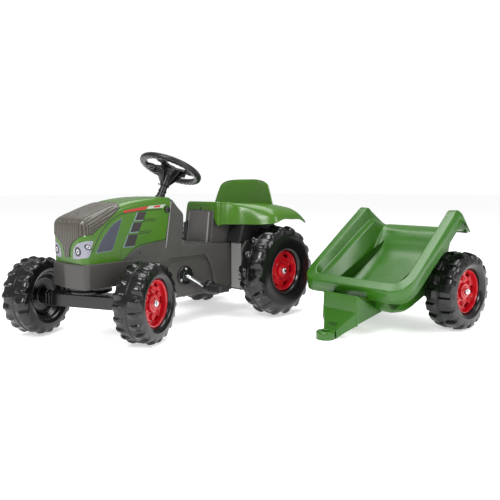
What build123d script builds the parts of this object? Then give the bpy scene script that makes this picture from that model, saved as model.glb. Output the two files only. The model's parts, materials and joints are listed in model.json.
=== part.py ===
from build123d import *
import os
from math import atan2, cos, degrees, pi, radians, sin

# Pedal tractor for a small child, with its own trailer parked beside it, unhitched.
# Millimetres. The tractor faces -Y, the driver's left is +X, up is +Z, and the floor is Z = 0.
# Pieces are drawn about the middle of the wheelbase and moved at the end, so that the origin
# is under the middle of the whole set.

# ---- driving dimensions: wheels and axles ----
WHEELBASE = 580.0
FRONT_TYRE_R = 111.0
REAR_TYRE_R = 147.0
TRAILER_TYRE_R = 114.0
FRONT_OUTER_X = 217.5
REAR_OUTER_X = 226.5
TRAILER_OUTER_X = 216.0
FRONT_TYRE_W = 85.0
REAR_TYRE_W = 92.0
TRAILER_TYRE_W = 91.0
RIM_R = 63.0
RIM_RECESS = 20.0
LUG_DEPTH = 9.0
TYRE_WALL = 4.0
AXLE_R = 5.0
RUNNING_GAP = 0.05
SIDE_GAP = 1.0

# ---- driving dimensions: body ----
WALL = 4.0
BELT_GAP = 38.0
BELT_H = 67.0
BELT_HALF_W = 80.0
NOSE_OVERHANG = 75.0
HOOD_HALF_W = 76.0
HOOD_H = 170.0
COWL_FRONT_Y = -62.0
COWL_REAR_Y = -14.0
SHOULDER_H = 48.0
SADDLE_H = 24.0
LEG_HALF_W = 66.0
LEG_DROP = 64.0
HOUSING_HALF_W = 128.0
HOUSING_LENGTH = 160.0
SEAT_FRONT_Y = 124.0
SEAT_HALF_W = 110.0
FENDER_HALF_W = 215.0
FENDER_GAP = 20.0
BACKREST_H = 68.0

# ---- driving dimensions: steering, drive, hitch ----
STEER_REST = 22.0
STEERING_WHEEL_R = 97.0
STEERING_WHEEL_Y = 2.5
STEERING_WHEEL_Z = 470.0
COLUMN_SLOPE = 0.5
COLUMN_R = 9.0
STEER_ARM = 45.0
CRANK_Y = -5.0
CRANK_R = 72.0
CRANK_ANGLE = -31.0
PEDAL_HUB_X = 110.0
PEDAL_LENGTH = 66.0
CHAIN_PITCH = 12.7
CRANK_TEETH = 18
REAR_TEETH = 14
CHAIN_X = -40.0
HITCH_PIN_R = 9.0
HITCH_PIN_H = 42.0
SEAT_TOWER_HALF_W = 62.0
BEARING_R = 30.0
BEARING_T = 7.0
BUSH_R = 11.0
KING_PIN_R = 8.0
BOSS_R = 20.0
CRANK_ROD_R = 5.5
GRIP_R = 9.0

# ---- driving dimensions: trailer ----
TRAILER_X = 529.5
TRAILER_Y = 515.0
TRAILER_YAW = -7.0
RIM_FRONT_Y = -285.0
RIM_FRONT_RISE = 25.0
RIM_HALF_W = 190.0
RIM_FLANGE = 30.0
RIM_SLOPE = 38.5
PEAK_Y = -22.0
TUB_REAR_Y = 80.0
TUB_REAR_DROP = 55.0
TUB_FLOOR_HALF_W = 96.0
LIP_H = 34.0
EYE_Y = -378.0
EYE_HOLE_R = 12.0
EYE_R = 26.0
EYE_THICK = 20.0
DRAWBAR_HALF_W = 62.0
PLATE_Y = -318.0
PEAK_HALF_W = 174.0
TUB_FRONT_Y = -232.0
TUB_FLOOR_SLOPE = 0.25
SCOOP_CURVE = 0.28
BLOW_HOLE_R = 8.0

# ---- heights and places that follow ----
FRONT_Y = -WHEELBASE / 2
REAR_Y = WHEELBASE / 2
BELT_Z0 = FRONT_TYRE_R + BELT_GAP
BELT_Z1 = BELT_Z0 + BELT_H
CRANK_Z = BELT_Z0
NOSE_Y = FRONT_Y - NOSE_OVERHANG
SHOULDER_Z = BELT_Z1 + SHOULDER_H
SADDLE_Z = BELT_Z1 + SADDLE_H
HOOD_Z = BELT_Z1 + HOOD_H
HOUSING_Y = REAR_Y - 105
HOUSING_Z0 = REAR_TYRE_R - 62
HOUSING_Z1 = REAR_TYRE_R + 100
FENDER_Z = 2 * REAR_TYRE_R + FENDER_GAP
SEAT_Z = FENDER_Z + 48
TRAILER_FLOOR = TRAILER_TYRE_R + AXLE_R + 9

nodes = {}


def side_solid(points, half_width, inset=0.0):
    """The (y, z) outline pushed out to both sides, and drawn in by inset all round."""
    outline = make_face(Polyline(*points, close=True))
    if inset:
        outline = offset(outline, amount=-inset, kind=Kind.INTERSECTION)
    return extrude(Plane.YZ * outline, amount=half_width - inset, both=True)


def plan_solid(points, z0, z1, inset=0.0):
    """The (x, y) outline raised from z0 to z1, and drawn in by inset all round."""
    outline = make_face(Polyline(*points, close=True))
    if inset:
        outline = offset(outline, amount=-inset, kind=Kind.INTERSECTION)
    return extrude(Pos(0, 0, z0 + inset) * outline, amount=z1 - z0 - 2 * inset)


def front_solid(points, y0, y1):
    """The (x, z) outline pushed back from y0 to y1."""
    outline = make_face(Polyline(*points, close=True))
    return extrude(Plane.XZ.offset(-y0) * outline, amount=-(y1 - y0))


def span(x0, x1, y0, y1, z0, z1):
    """A box between two corners."""
    return Pos((x0 + x1) / 2, (y0 + y1) / 2, (z0 + z1) / 2) * Box(x1 - x0, y1 - y0, z1 - z0)


def rod_x(x0, x1, radius, y=0.0, z=0.0):
    """A round bar along X."""
    return Pos((x0 + x1) / 2, y, z) * Rot(0, 90, 0) * Cylinder(radius, abs(x1 - x0))


def mirrored(shape):
    """The same piece on the other side of the centre plane."""
    return mirror(shape, about=Plane.YZ)


# ---- wheels: drawn about their own centre, axle along X, outer side at +X ----
def tyre(radius, width, lug_count, lug_angle, lug_size):
    """A hollow moulded tyre, open towards the rim, with two staggered rows of lugs."""
    half = width / 2
    tread = radius - LUG_DEPTH
    outline = [(-half + 4, RIM_R), (-half, RIM_R + 10), (-half, tread - 16), (-half + 12, tread),
               (half - 12, tread), (half, tread - 16), (half, RIM_R + 10), (half - 4, RIM_R)]
    skin = make_face(Polyline(*outline, close=True))
    hollow = offset(skin, amount=-TYRE_WALL, kind=Kind.INTERSECTION)
    mouth = Pos(0, RIM_R) * Rectangle(width - 24, 2 * TYRE_WALL + 2)
    section = skin - hollow - mouth
    body = revolve(section, axis=Axis.X)
    lugs = []
    for row, side in enumerate((-1, 1)):
        for i in range(lug_count):
            turn = 360 * (i + 0.5 * row) / lug_count
            block = Box(half - 5, lug_size, LUG_DEPTH + 6)
            high = radius - (LUG_DEPTH + 6) / 2
            lugs.append(Rot(turn, 0, 0) * Pos(side * half / 2, 0, high) * Rot(0, 0, side * lug_angle) * block)
    outer = Rot(0, 90, 0) * Cylinder(radius, width)
    return body + [lug & outer for lug in lugs]


def rim(width):
    """A dished rim: drum, web with windows, hub tube and six small bosses round it."""
    half = width / 2
    web_x = half - RIM_RECESS
    section = [(-half + 6, RIM_R - 4), (-half + 6, RIM_R), (half - 6, RIM_R), (half - 6, RIM_R - 4),
               (web_x, RIM_R - 8), (web_x, AXLE_R + RUNNING_GAP), (web_x - 6, AXLE_R + RUNNING_GAP),
               (web_x - 6, RIM_R - 4)]
    drum = revolve(make_face(Polyline(*section, close=True)), axis=Axis.X)
    hub = rod_x(-half + 6, web_x + 7, 19) - rod_x(-half, half, AXLE_R + RUNNING_GAP)
    bosses = []
    windows = []
    for i in range(6):
        bosses.append(Rot(60 * i, 0, 0) * rod_x(web_x - 1, web_x + 5, 7, 0, 36))
        windows.append(Rot(60 * i + 30, 0, 0) * Pos(web_x - 3, 0, 47) * Box(20, 15, 9))
    return drum - windows + hub + bosses


def hub_cap(width):
    """The push-on cap that holds a wheel on its axle."""
    web_x = width / 2 - RIM_RECESS + 7
    cap = rod_x(web_x + SIDE_GAP, web_x + 9, 9) - rod_x(web_x, web_x + 6, AXLE_R)
    return cap


def wheel_pieces(radius, width, lug_count, lug_angle, lug_size):
    return {"tyre": tyre(radius, width, lug_count, lug_angle, lug_size), "rim": rim(width),
            "cap": hub_cap(width)}


def add_wheels(name, pieces, outer_x, width, place):
    """Both wheels of an axle: the right one is the left one turned about."""
    centre = outer_x - width / 2
    for side, turn in (("left", 0), ("right", 180)):
        for piece, shape in pieces.items():
            nodes[f"{name}_{piece}_{side}"] = place * Rot(0, 0, turn) * Pos(centre, 0, 0) * shape


FRONT_PLACE = Pos(0, FRONT_Y, FRONT_TYRE_R) * Rot(0, 0, STEER_REST)
REAR_PLACE = Pos(0, REAR_Y, REAR_TYRE_R)
TRAILER_FRAME = Pos(TRAILER_X, TRAILER_Y, 0) * Rot(0, 0, TRAILER_YAW)
TRAILER_PLACE = TRAILER_FRAME * Pos(0, 0, TRAILER_TYRE_R)
add_wheels("front", wheel_pieces(FRONT_TYRE_R, FRONT_TYRE_W, 22, 25, 9), FRONT_OUTER_X, FRONT_TYRE_W,
           FRONT_PLACE)
add_wheels("rear", wheel_pieces(REAR_TYRE_R, REAR_TYRE_W, 15, 30, 20), REAR_OUTER_X, REAR_TYRE_W, REAR_PLACE)
add_wheels("trailer", wheel_pieces(TRAILER_TYRE_R, TRAILER_TYRE_W, 16, 0, 20), TRAILER_OUTER_X,
           TRAILER_TYRE_W, TRAILER_PLACE)


# ---- chassis: one grey moulding from the front belt to the rear axle housing ----
hood_foot = [(FRONT_Y + 56, BELT_Z1), (FRONT_Y + 84, BELT_Z1 + 21), (FRONT_Y + 113, BELT_Z1 + 36),
             (FRONT_Y + 171, BELT_Z1 + 44), (COWL_FRONT_Y, SHOULDER_Z)]
belt_plan = [(-BELT_HALF_W, -100), (-BELT_HALF_W, NOSE_Y + 30), (-BELT_HALF_W + 14, NOSE_Y + 12), (0, NOSE_Y),
             (BELT_HALF_W - 14, NOSE_Y + 12), (BELT_HALF_W, NOSE_Y + 30), (BELT_HALF_W, -100)]
shoulder = hood_foot + [(COWL_REAR_Y, SHOULDER_Z), (COWL_REAR_Y, SADDLE_Z), (HOUSING_Y, SADDLE_Z - 8),
                        (HOUSING_Y, BELT_Z1 - 10), (FRONT_Y + 56, BELT_Z1 - 10)]
leg = [(-130, BELT_Z1), (-118, CRANK_Z), (-62, CRANK_Z - LEG_DROP), (HOUSING_Y + 20, CRANK_Z - LEG_DROP),
       (HOUSING_Y + 20, BELT_Z1)]
tower = [(SEAT_FRONT_Y - 14, SADDLE_Z - 14), (SEAT_FRONT_Y + 10, SEAT_Z - 22), (HOUSING_Y + 60, SEAT_Z - 22),
         (HOUSING_Y + 60, SADDLE_Z - 14)]
housing = [(HOUSING_Y, HOUSING_Z0), (HOUSING_Y, HOUSING_Z1 - 26), (HOUSING_Y + 22, HOUSING_Z1),
           (HOUSING_Y + HOUSING_LENGTH, HOUSING_Z1), (HOUSING_Y + HOUSING_LENGTH, HOUSING_Z0)]


def chassis_form(inset):
    """The chassis outline, or the space inside its walls."""
    return (plan_solid(belt_plan, BELT_Z0, BELT_Z1, inset) + side_solid(shoulder, HOOD_HALF_W, inset)
            + side_solid(leg, LEG_HALF_W, inset) + side_solid(tower, SEAT_TOWER_HALF_W, inset)
            + side_solid(housing, HOUSING_HALF_W, inset))


COLUMN_TILT = degrees(atan2(COLUMN_SLOPE, 1))
column_axis = Plane(origin=(0, STEERING_WHEEL_Y, STEERING_WHEEL_Z), x_dir=(1, 0, 0),
                    z_dir=(0, sin(radians(COLUMN_TILT)), cos(radians(COLUMN_TILT))))


def column_y(z):
    """Where the steering column's axis is at a height."""
    return STEERING_WHEEL_Y - (STEERING_WHEEL_Z - z) * COLUMN_SLOPE


def down_column(z):
    """Distance from the steering wheel's centre down the column to a height."""
    return (STEERING_WHEEL_Z - z) / cos(radians(COLUMN_TILT))


HATCH = span(-HOOD_HALF_W + 12, HOOD_HALF_W - 12, NOSE_Y + 45, COWL_REAR_Y - 12, BELT_Z1 - WALL - 2,
             SHOULDER_Z + 2)
chassis = chassis_form(0) - chassis_form(WALL) - HATCH
chassis -= rod_x(-LEG_HALF_W - 9, LEG_HALF_W + 9, BEARING_R - 9, CRANK_Y, CRANK_Z)
chassis -= rod_x(-HOUSING_HALF_W - 1, HOUSING_HALF_W + 1, BUSH_R, REAR_Y, REAR_TYRE_R)
chassis -= Pos(0, FRONT_Y, BELT_Z0) * Cylinder(BOSS_R + 2, 4 * WALL)
nodes["chassis_shell"] = chassis

# ---- hood, grille and dash cowl ----
hood_side = [(NOSE_Y + 18, BELT_Z1), (NOSE_Y, HOOD_Z - 54), (NOSE_Y + 18, HOOD_Z - 40), (NOSE_Y + 66, HOOD_Z - 21),
             (NOSE_Y + 130, HOOD_Z - 8), (NOSE_Y + 215, HOOD_Z - 1), (COWL_FRONT_Y, HOOD_Z)]
hood_side += list(reversed(hood_foot))
nose_plan = [(-HOOD_HALF_W, COWL_FRONT_Y), (-HOOD_HALF_W, NOSE_Y + 34), (-HOOD_HALF_W + 10, NOSE_Y + 14),
             (-34, NOSE_Y + 3), (34, NOSE_Y + 3), (HOOD_HALF_W - 10, NOSE_Y + 14), (HOOD_HALF_W, NOSE_Y + 34),
             (HOOD_HALF_W, COWL_FRONT_Y)]
crown = [(-HOOD_HALF_W, BELT_Z1 - 20), (-HOOD_HALF_W, HOOD_Z - 24), (-HOOD_HALF_W + 8, HOOD_Z - 8),
         (-HOOD_HALF_W + 24, HOOD_Z), (HOOD_HALF_W - 24, HOOD_Z), (HOOD_HALF_W - 8, HOOD_Z - 8),
         (HOOD_HALF_W, HOOD_Z - 24), (HOOD_HALF_W, BELT_Z1 - 20)]


def hood_form(inset):
    """The hood's outline, or the space inside its skin."""
    top = make_face(Polyline(*crown, close=True))
    plan = make_face(Polyline(*nose_plan, close=True))
    if inset:
        top = offset(top, amount=-inset, kind=Kind.INTERSECTION)
        plan = offset(plan, amount=-inset, kind=Kind.INTERSECTION)
    through = extrude(Plane.XZ.offset(-COWL_FRONT_Y) * top, amount=COWL_FRONT_Y - NOSE_Y + 10)
    upright = extrude(Pos(0, 0, BELT_Z1 - 20) * plan, amount=HOOD_H + 40)
    return side_solid(hood_side, HOOD_HALF_W, inset) & through & upright


hood_space = hood_form(WALL)
hood_skin = hood_form(0) - hood_space - Pos(0, 0, -2 * WALL) * hood_space - Pos(0, 2 * WALL, 0) * hood_space
grille_front = front_solid([(-12, BELT_Z1 + 14), (12, BELT_Z1 + 14), (22, BELT_Z1 + 52), (60, BELT_Z1 + 74),
                            (HOOD_HALF_W + 1, BELT_Z1 + 80), (HOOD_HALF_W + 1, HOOD_Z + 1),
                            (-HOOD_HALF_W - 1, HOOD_Z + 1), (-HOOD_HALF_W - 1, BELT_Z1 + 80),
                            (-60, BELT_Z1 + 74), (-22, BELT_Z1 + 52)], NOSE_Y - 5, NOSE_Y + 140)
grille_back = side_solid([(NOSE_Y - 5, BELT_Z1), (NOSE_Y + 30, BELT_Z1), (NOSE_Y + 50, BELT_Z1 + 72),
                          (NOSE_Y + 132, HOOD_Z + 2), (NOSE_Y - 5, HOOD_Z + 2)], HOOD_HALF_W + 2)
grille_zone = grille_front & grille_back
nodes["grille_cap"] = hood_skin & grille_zone
nodes["hood_shell"] = hood_skin - grille_zone
knob = rod_x(HOOD_HALF_W, HOOD_HALF_W + 7, 9, COWL_FRONT_Y - 16, HOOD_Z - 36)
nodes["hood_knob_left"] = knob
nodes["hood_knob_right"] = mirrored(knob)

cowl_side = [(COWL_FRONT_Y, SHOULDER_Z), (COWL_FRONT_Y, HOOD_Z), (COWL_FRONT_Y + 32, HOOD_Z - 32 * COLUMN_SLOPE),
             (COWL_REAR_Y, HOOD_Z - 50), (COWL_REAR_Y, SHOULDER_Z)]
cowl_space = side_solid(cowl_side, HOOD_HALF_W, WALL)
cowl = side_solid(cowl_side, HOOD_HALF_W) - cowl_space - Pos(0, 0, -2 * WALL) * cowl_space
cowl -= Pos(0, -2 * WALL, 0) * cowl_space
column_hole = column_axis * Pos(0, 0, -down_column(HOOD_Z - 20)) * Cylinder(COLUMN_R + 4, 60)
nodes["dash_cowl"] = cowl - column_hole
column_bore = column_axis * Pos(0, 0, -200) * Cylinder(COLUMN_R + RUNNING_GAP, 600)
rise = COLUMN_SLOPE * (COWL_FRONT_Y - STEERING_WHEEL_Y + COLUMN_SLOPE * STEERING_WHEEL_Z)
bush_z = (HOOD_Z + rise) / (1 + COLUMN_SLOPE ** 2)
collar = column_axis * Pos(0, 0, -down_column(bush_z) + 5) * Cylinder(COLUMN_R + 6, 10)
nodes["column_bush"] = collar - column_bore
bracket = column_axis * Pos(0, 0, -down_column(SHOULDER_Z - 22)) * Box(2 * (HOOD_HALF_W - WALL), 30, 8)
nodes["column_bracket"] = bracket - column_bore

# ---- seat: one green shell with its backrest and both rear fenders ----
seat_front_z = SEAT_Z - 62
seat_side = [(SEAT_FRONT_Y, seat_front_z), (SEAT_FRONT_Y + 6, SEAT_Z - 6), (SEAT_FRONT_Y + 50, SEAT_Z - 14),
             (REAR_Y + 10, SEAT_Z - 4), (REAR_Y + 60, SEAT_Z - 4), (REAR_Y + 60, FENDER_Z + 20),
             (REAR_Y - 60, FENDER_Z - 4), (REAR_Y - 100, seat_front_z)]
pan_form = side_solid(seat_side, SEAT_HALF_W)
taper = plan_solid([(-HOOD_HALF_W, SEAT_FRONT_Y - 1), (HOOD_HALF_W, SEAT_FRONT_Y - 1), (HOOD_HALF_W + 4, 170),
                    (SEAT_HALF_W, 230), (SEAT_HALF_W, 420), (-SEAT_HALF_W, 420), (-SEAT_HALF_W, 230),
                    (-HOOD_HALF_W - 4, 170)], seat_front_z - 1, SEAT_Z + 1)
pan_space = side_solid(seat_side, SEAT_HALF_W - WALL, WALL) & taper
pan = (pan_form & taper) - pan_space - Pos(0, 0, -8 * WALL) * pan_space - side_solid(tower, SEAT_TOWER_HALF_W + 0.2)
pan -= span(-47, 47, SEAT_FRONT_Y - 2, SEAT_FRONT_Y + 16, seat_front_z - 2, SEAT_Z - 18)


def strip(x, points):
    """The end outline of a fender at a distance from the centre plane."""
    lower = [(y, z - 5) for y, z in reversed(points)]
    return Plane.YZ.offset(x) * make_face(Polyline(*points, *lower, close=True))


fender_inner = [(REAR_Y - 100, FENDER_Z + 6), (REAR_Y - 62, SEAT_Z - 8), (REAR_Y + 10, SEAT_Z - 6),
                (REAR_Y + 76, SEAT_Z - 8), (REAR_Y + 106, SEAT_Z - 34)]
fender_outer = [(REAR_Y - 140, FENDER_Z - 13), (REAR_Y - 74, FENDER_Z + 1), (REAR_Y + 10, FENDER_Z + 4),
                (REAR_Y + 76, FENDER_Z - 4), (REAR_Y + 106, FENDER_Z - 18)]
fender = loft([strip(SEAT_HALF_W - 3, fender_inner), strip(FENDER_HALF_W, fender_outer)], ruled=True)
backrest = front_solid([(-134, SEAT_Z - 16), (-126, SEAT_Z + 18), (-98, SEAT_Z + BACKREST_H - 6),
                        (-84, SEAT_Z + BACKREST_H), (84, SEAT_Z + BACKREST_H), (98, SEAT_Z + BACKREST_H - 6),
                        (126, SEAT_Z + 18), (134, SEAT_Z - 16)], REAR_Y + 34, REAR_Y + 50)
nodes["seat_shell"] = pan + fender + mirrored(fender) + backrest

panel_low = (tower[0][0] + 4, SADDLE_Z + 5)
panel_high = (tower[1][0] - 1, SEAT_Z - 26)
panel = side_solid([panel_low, panel_high, (panel_high[0] - 5, panel_high[1]), (panel_low[0] - 5, panel_low[1])], 45)
nodes["seat_panel"] = panel - chassis

# ---- crank, pedals and chain drive ----
crank_place = Pos(0, CRANK_Y, CRANK_Z)
arm_y = CRANK_R * cos(radians(CRANK_ANGLE))
arm_z = CRANK_R * sin(radians(CRANK_ANGLE))
elbow_x = LEG_HALF_W + BEARING_T + 9
knee_x = elbow_x + 9
spindle_x = PEDAL_HUB_X + PEDAL_LENGTH - 6
crank_path = FilletPolyline((-spindle_x, -arm_y, -arm_z), (-knee_x, -arm_y, -arm_z), (-elbow_x, 0, 0),
                            (elbow_x, 0, 0), (knee_x, arm_y, arm_z), (spindle_x, arm_y, arm_z), radius=9)
rod_end = Plane(origin=(-spindle_x, -arm_y, -arm_z), z_dir=(1, 0, 0))
nodes["crank_shaft"] = crank_place * sweep(rod_end * Circle(CRANK_ROD_R), crank_path)

disc = rod_x(LEG_HALF_W, LEG_HALF_W + BEARING_T, BEARING_R) + rod_x(LEG_HALF_W - WALL, LEG_HALF_W, BEARING_R - 9.1)
disc = crank_place * (disc - rod_x(0, LEG_HALF_W + 20, CRANK_ROD_R + RUNNING_GAP))
nodes["crank_bearing_left"] = disc
nodes["crank_bearing_right"] = mirrored(disc)
for i in range(3):
    angle = radians(90 + 120 * i)
    head = rod_x(LEG_HALF_W + BEARING_T, LEG_HALF_W + BEARING_T + 2, 3.5, 22 * cos(angle), 22 * sin(angle))
    nodes[f"bearing_screw_{i + 1}"] = crank_place * head


def pitch_radius(teeth):
    return CHAIN_PITCH / (2 * sin(pi / teeth))


def sprocket(teeth, bore):
    """A flat chain wheel with a hub, along X."""
    pitch = pitch_radius(teeth)
    points = []
    for i in range(2 * teeth):
        reach = pitch + 3 if i % 2 else pitch - 3.5
        points.append((reach * cos(pi * i / teeth), reach * sin(pi * i / teeth)))
    plate = extrude(Plane.YZ * make_face(Polyline(*points, close=True)), amount=1.5, both=True)
    return Pos(CHAIN_X, 0, 0) * (plate + rod_x(-9, 9, bore + 6) - rod_x(-10, 10, bore))


def chain_loop(grow):
    """The belt-shaped outline round both chain wheels, a little larger than their teeth."""
    low = Pos(CRANK_Y, CRANK_Z) * Circle(pitch_radius(CRANK_TEETH) + 3 + grow)
    high = Pos(REAR_Y, REAR_TYRE_R) * Circle(pitch_radius(REAR_TEETH) + 3 + grow)
    return make_hull((low.edges() + high.edges()))


nodes["crank_sprocket"] = crank_place * sprocket(CRANK_TEETH, CRANK_ROD_R)
band = chain_loop(6) - chain_loop(0.8)
nodes["drive_chain"] = Pos(CHAIN_X, 0, 0) * extrude(Plane.YZ * band, amount=3, both=True)

pedal_block = Pos(PEDAL_HUB_X + PEDAL_LENGTH / 2 + 6, 0, 0) * Box(PEDAL_LENGTH - 12, 44, 20)
pedal = pedal_block + rod_x(PEDAL_HUB_X - 11, PEDAL_HUB_X + 13, 20)
pedal -= rod_x(PEDAL_HUB_X - 20, spindle_x + 1, CRANK_ROD_R + RUNNING_GAP)
nodes["pedal_left"] = crank_place * Pos(0, arm_y, arm_z) * pedal
nodes["pedal_right"] = crank_place * Pos(0, -arm_y, -arm_z) * mirrored(pedal)

# ---- rear axle ----
rear_end = REAR_OUTER_X - RIM_RECESS + 13
nodes["rear_axle_rod"] = REAR_PLACE * rod_x(-rear_end, rear_end, AXLE_R)
nodes["rear_sprocket"] = REAR_PLACE * sprocket(REAR_TEETH, AXLE_R)
flange_end = REAR_OUTER_X - REAR_TYRE_W + 6 - SIDE_GAP
bearing = rod_x(HOUSING_HALF_W - 14, HOUSING_HALF_W, BUSH_R - 0.1) + rod_x(HOUSING_HALF_W, flange_end, 17)
bearing = REAR_PLACE * (bearing - rod_x(0, flange_end + 1, AXLE_R + RUNNING_GAP))
nodes["rear_bearing_left"] = bearing
nodes["rear_bearing_right"] = mirrored(bearing)

# ---- hitch on the back of the housing ----
hitch_y = HOUSING_Y + HOUSING_LENGTH
tongue_plate = span(-22, 22, hitch_y, hitch_y + 46, HOUSING_Z0, HOUSING_Z0 + 8)
nodes["hitch_bracket"] = tongue_plate + span(-34, 34, hitch_y, hitch_y + 6, HOUSING_Z0, HOUSING_Z0 + 44)
HITCH_PIN_Y = hitch_y + 28
HITCH_PIN_Z = HOUSING_Z0 + 8
nodes["hitch_pin"] = Pos(0, HITCH_PIN_Y, HITCH_PIN_Z + HITCH_PIN_H / 2) * Cylinder(HITCH_PIN_R, HITCH_PIN_H)

# ---- front axle: turns about the king pin with both front wheels ----
beam_half = FRONT_OUTER_X - FRONT_TYRE_W + 6 - SIDE_GAP
front_end = FRONT_OUTER_X - RIM_RECESS + 13
ARM_Z = BELT_Z0 + 19 - FRONT_TYRE_R
beam = Box(2 * beam_half, 56, BELT_GAP) + Pos(0, 0, ARM_Z / 2) * Cylinder(BOSS_R, ARM_Z + 12)
beam += Pos(-STEER_ARM / 2, 0, ARM_Z + 3) * Box(STEER_ARM, 20, 6)
beam += Pos(-STEER_ARM, 0, ARM_Z + 3) * Cylinder(10, 6) + Pos(-STEER_ARM, 0, ARM_Z + 10) * Cylinder(4, 9)
beam -= Pos(0, 0, 60 + AXLE_R + 8) * Cylinder(KING_PIN_R + RUNNING_GAP, 120)
nodes["axle_beam"] = FRONT_PLACE * (beam - rod_x(-beam_half - 1, beam_half + 1, AXLE_R))
nodes["front_axle_rod"] = FRONT_PLACE * rod_x(-front_end, front_end, AXLE_R)
plate_z = BELT_Z1 - 18
pin_low = FRONT_TYRE_R + AXLE_R + 9
king_plate = span(-BELT_HALF_W + WALL, BELT_HALF_W - WALL, FRONT_Y - 18, FRONT_Y + 18, plate_z, plate_z + 6)
nodes["king_pin"] = king_plate + Pos(0, FRONT_Y, (pin_low + plate_z) / 2) * Cylinder(KING_PIN_R, plate_z - pin_low)

# ---- steering column, drag link and steering wheel ----
column_foot = BELT_Z1 - 20
foot = down_column(column_foot)
turned = column_axis * Rot(0, 0, STEER_REST)
column = Pos(0, 0, -(foot + 3) / 2 - 4) * Cylinder(COLUMN_R, foot - 5)
column += Pos(-STEER_ARM / 2, 0, -foot) * Box(STEER_ARM, 16, 6) + Pos(-STEER_ARM, 0, -foot) * Cylinder(8, 6)
column += Pos(-STEER_ARM, 0, -foot - 17) * Cylinder(4, 34)
nodes["steering_column"] = turned * column
link_length = column_y(column_foot) - FRONT_Y - 10
link = Pos(0, link_length / 2, 0) * Box(10, link_length, 6) + Cylinder(10, 6) + Pos(0, link_length, 0) * Cylinder(14, 6)
link -= Cylinder(4 + RUNNING_GAP, 7) + Pos(0, link_length, 0) * Cylinder(9, 7)
LINK_PIVOT = (-STEER_ARM * cos(radians(STEER_REST)), FRONT_Y - STEER_ARM * sin(radians(STEER_REST)))
nodes["drag_link"] = Pos(*LINK_PIVOT, FRONT_TYRE_R + ARM_Z + 9.3) * link

SPOKE_ANGLES = (0, 180, 270)
wheel = Torus(STEERING_WHEEL_R - GRIP_R, GRIP_R) + Pos(0, 0, -10) * Cylinder(28, 24)
wheel += Pos(0, 0, -42) * Cylinder(COLUMN_R + 6, 52)
for angle in SPOKE_ANGLES:
    spoke = Pos(STEERING_WHEEL_R / 2 + 6, 0, -3) * Box(STEERING_WHEEL_R - 30, 24, 9)
    wheel += Rot(0, 0, angle) * (spoke - Pos(STEERING_WHEEL_R - 30, 0, 0) * Cylinder(7, 30))
wheel -= Pos(0, 0, -50) * Cylinder(COLUMN_R, 92)
nodes["steering_wheel"] = turned * wheel
nodes["wheel_cap"] = turned * Pos(0, 0, 4) * Cylinder(20, 4)
bolt = rod_x(-COLUMN_R - 14, -COLUMN_R - 6, 3)
nodes["column_bolt"] = turned * Pos(0, 0, -54) * bolt

# ---- trailer: tub, drawbar, axle ----
rim_z = TRAILER_TYRE_R + RIM_FRONT_RISE
slope = radians(RIM_SLOPE)
rim_length = (PEAK_Y - RIM_FRONT_Y) / cos(slope)
peak_z = rim_z + rim_length * sin(slope)
rim_plane = Plane(origin=(0, RIM_FRONT_Y, rim_z), x_dir=(1, 0, 0), z_dir=(0, -sin(slope), cos(slope)))
rim_taper = (RIM_HALF_W - PEAK_HALF_W) / rim_length
tub_floor_z = TRAILER_FLOOR + TUB_FRONT_Y * TUB_FLOOR_SLOPE
floor_tilt = atan2(TUB_FLOOR_SLOPE, 1)
floor_plane = Plane(origin=(0, TUB_FRONT_Y, tub_floor_z), x_dir=(1, 0, 0),
                    z_dir=(0, -sin(floor_tilt), cos(floor_tilt)))


def tapered(half_width, taper, corner, length, inset):
    """A plan outline with cut front corners that narrows to the back, drawn in by inset."""
    back = half_width - taper * length
    points = [(-half_width + corner, 0), (-half_width + 0.3 * corner, 0.3 * corner), (-half_width, corner),
              (-back, length), (back, length), (half_width, corner),
              (half_width - 0.3 * corner, 0.3 * corner), (half_width - corner, 0)]
    outline = make_face(Polyline(*points, close=True))
    return offset(outline, amount=-inset, kind=Kind.INTERSECTION) if inset else outline


def tub_form(inset, floor_lift):
    """The tub's outline from its floor to the plane of its rim, or the space inside its walls."""
    top = rim_plane * tapered(RIM_HALF_W, rim_taper, 44, rim_length + 160, RIM_FLANGE + inset)
    floor_length = TUB_REAR_Y - 20 - TUB_FRONT_Y
    low = floor_plane * Pos(0, 0, floor_lift) * tapered(TUB_FLOOR_HALF_W, 0, 24, floor_length, inset)
    return loft([low, top], ruled=True)


rear_fall = TUB_REAR_DROP / (TUB_REAR_Y - PEAK_Y)
above_rear = side_solid([(PEAK_Y, peak_z), (PEAK_Y + 400, peak_z - 400 * rear_fall), (PEAK_Y + 400, 900),
                         (PEAK_Y, 900)], 300)
scoop_front = (TUB_FRONT_Y + 18, tub_floor_z + 18 * TUB_FLOOR_SLOPE + WALL)
scoop_back = (TUB_REAR_Y - WALL, peak_z - (TUB_REAR_Y - PEAK_Y) * rear_fall - 2)


def scoop_line(t):
    """A point of the load floor, which steepens from the front to the rear edge."""
    rise = (1 - SCOOP_CURVE) * t + SCOOP_CURVE * t * t
    return (scoop_front[0] + t * (scoop_back[0] - scoop_front[0]),
            scoop_front[1] + rise * (scoop_back[1] - scoop_front[1]))


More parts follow.
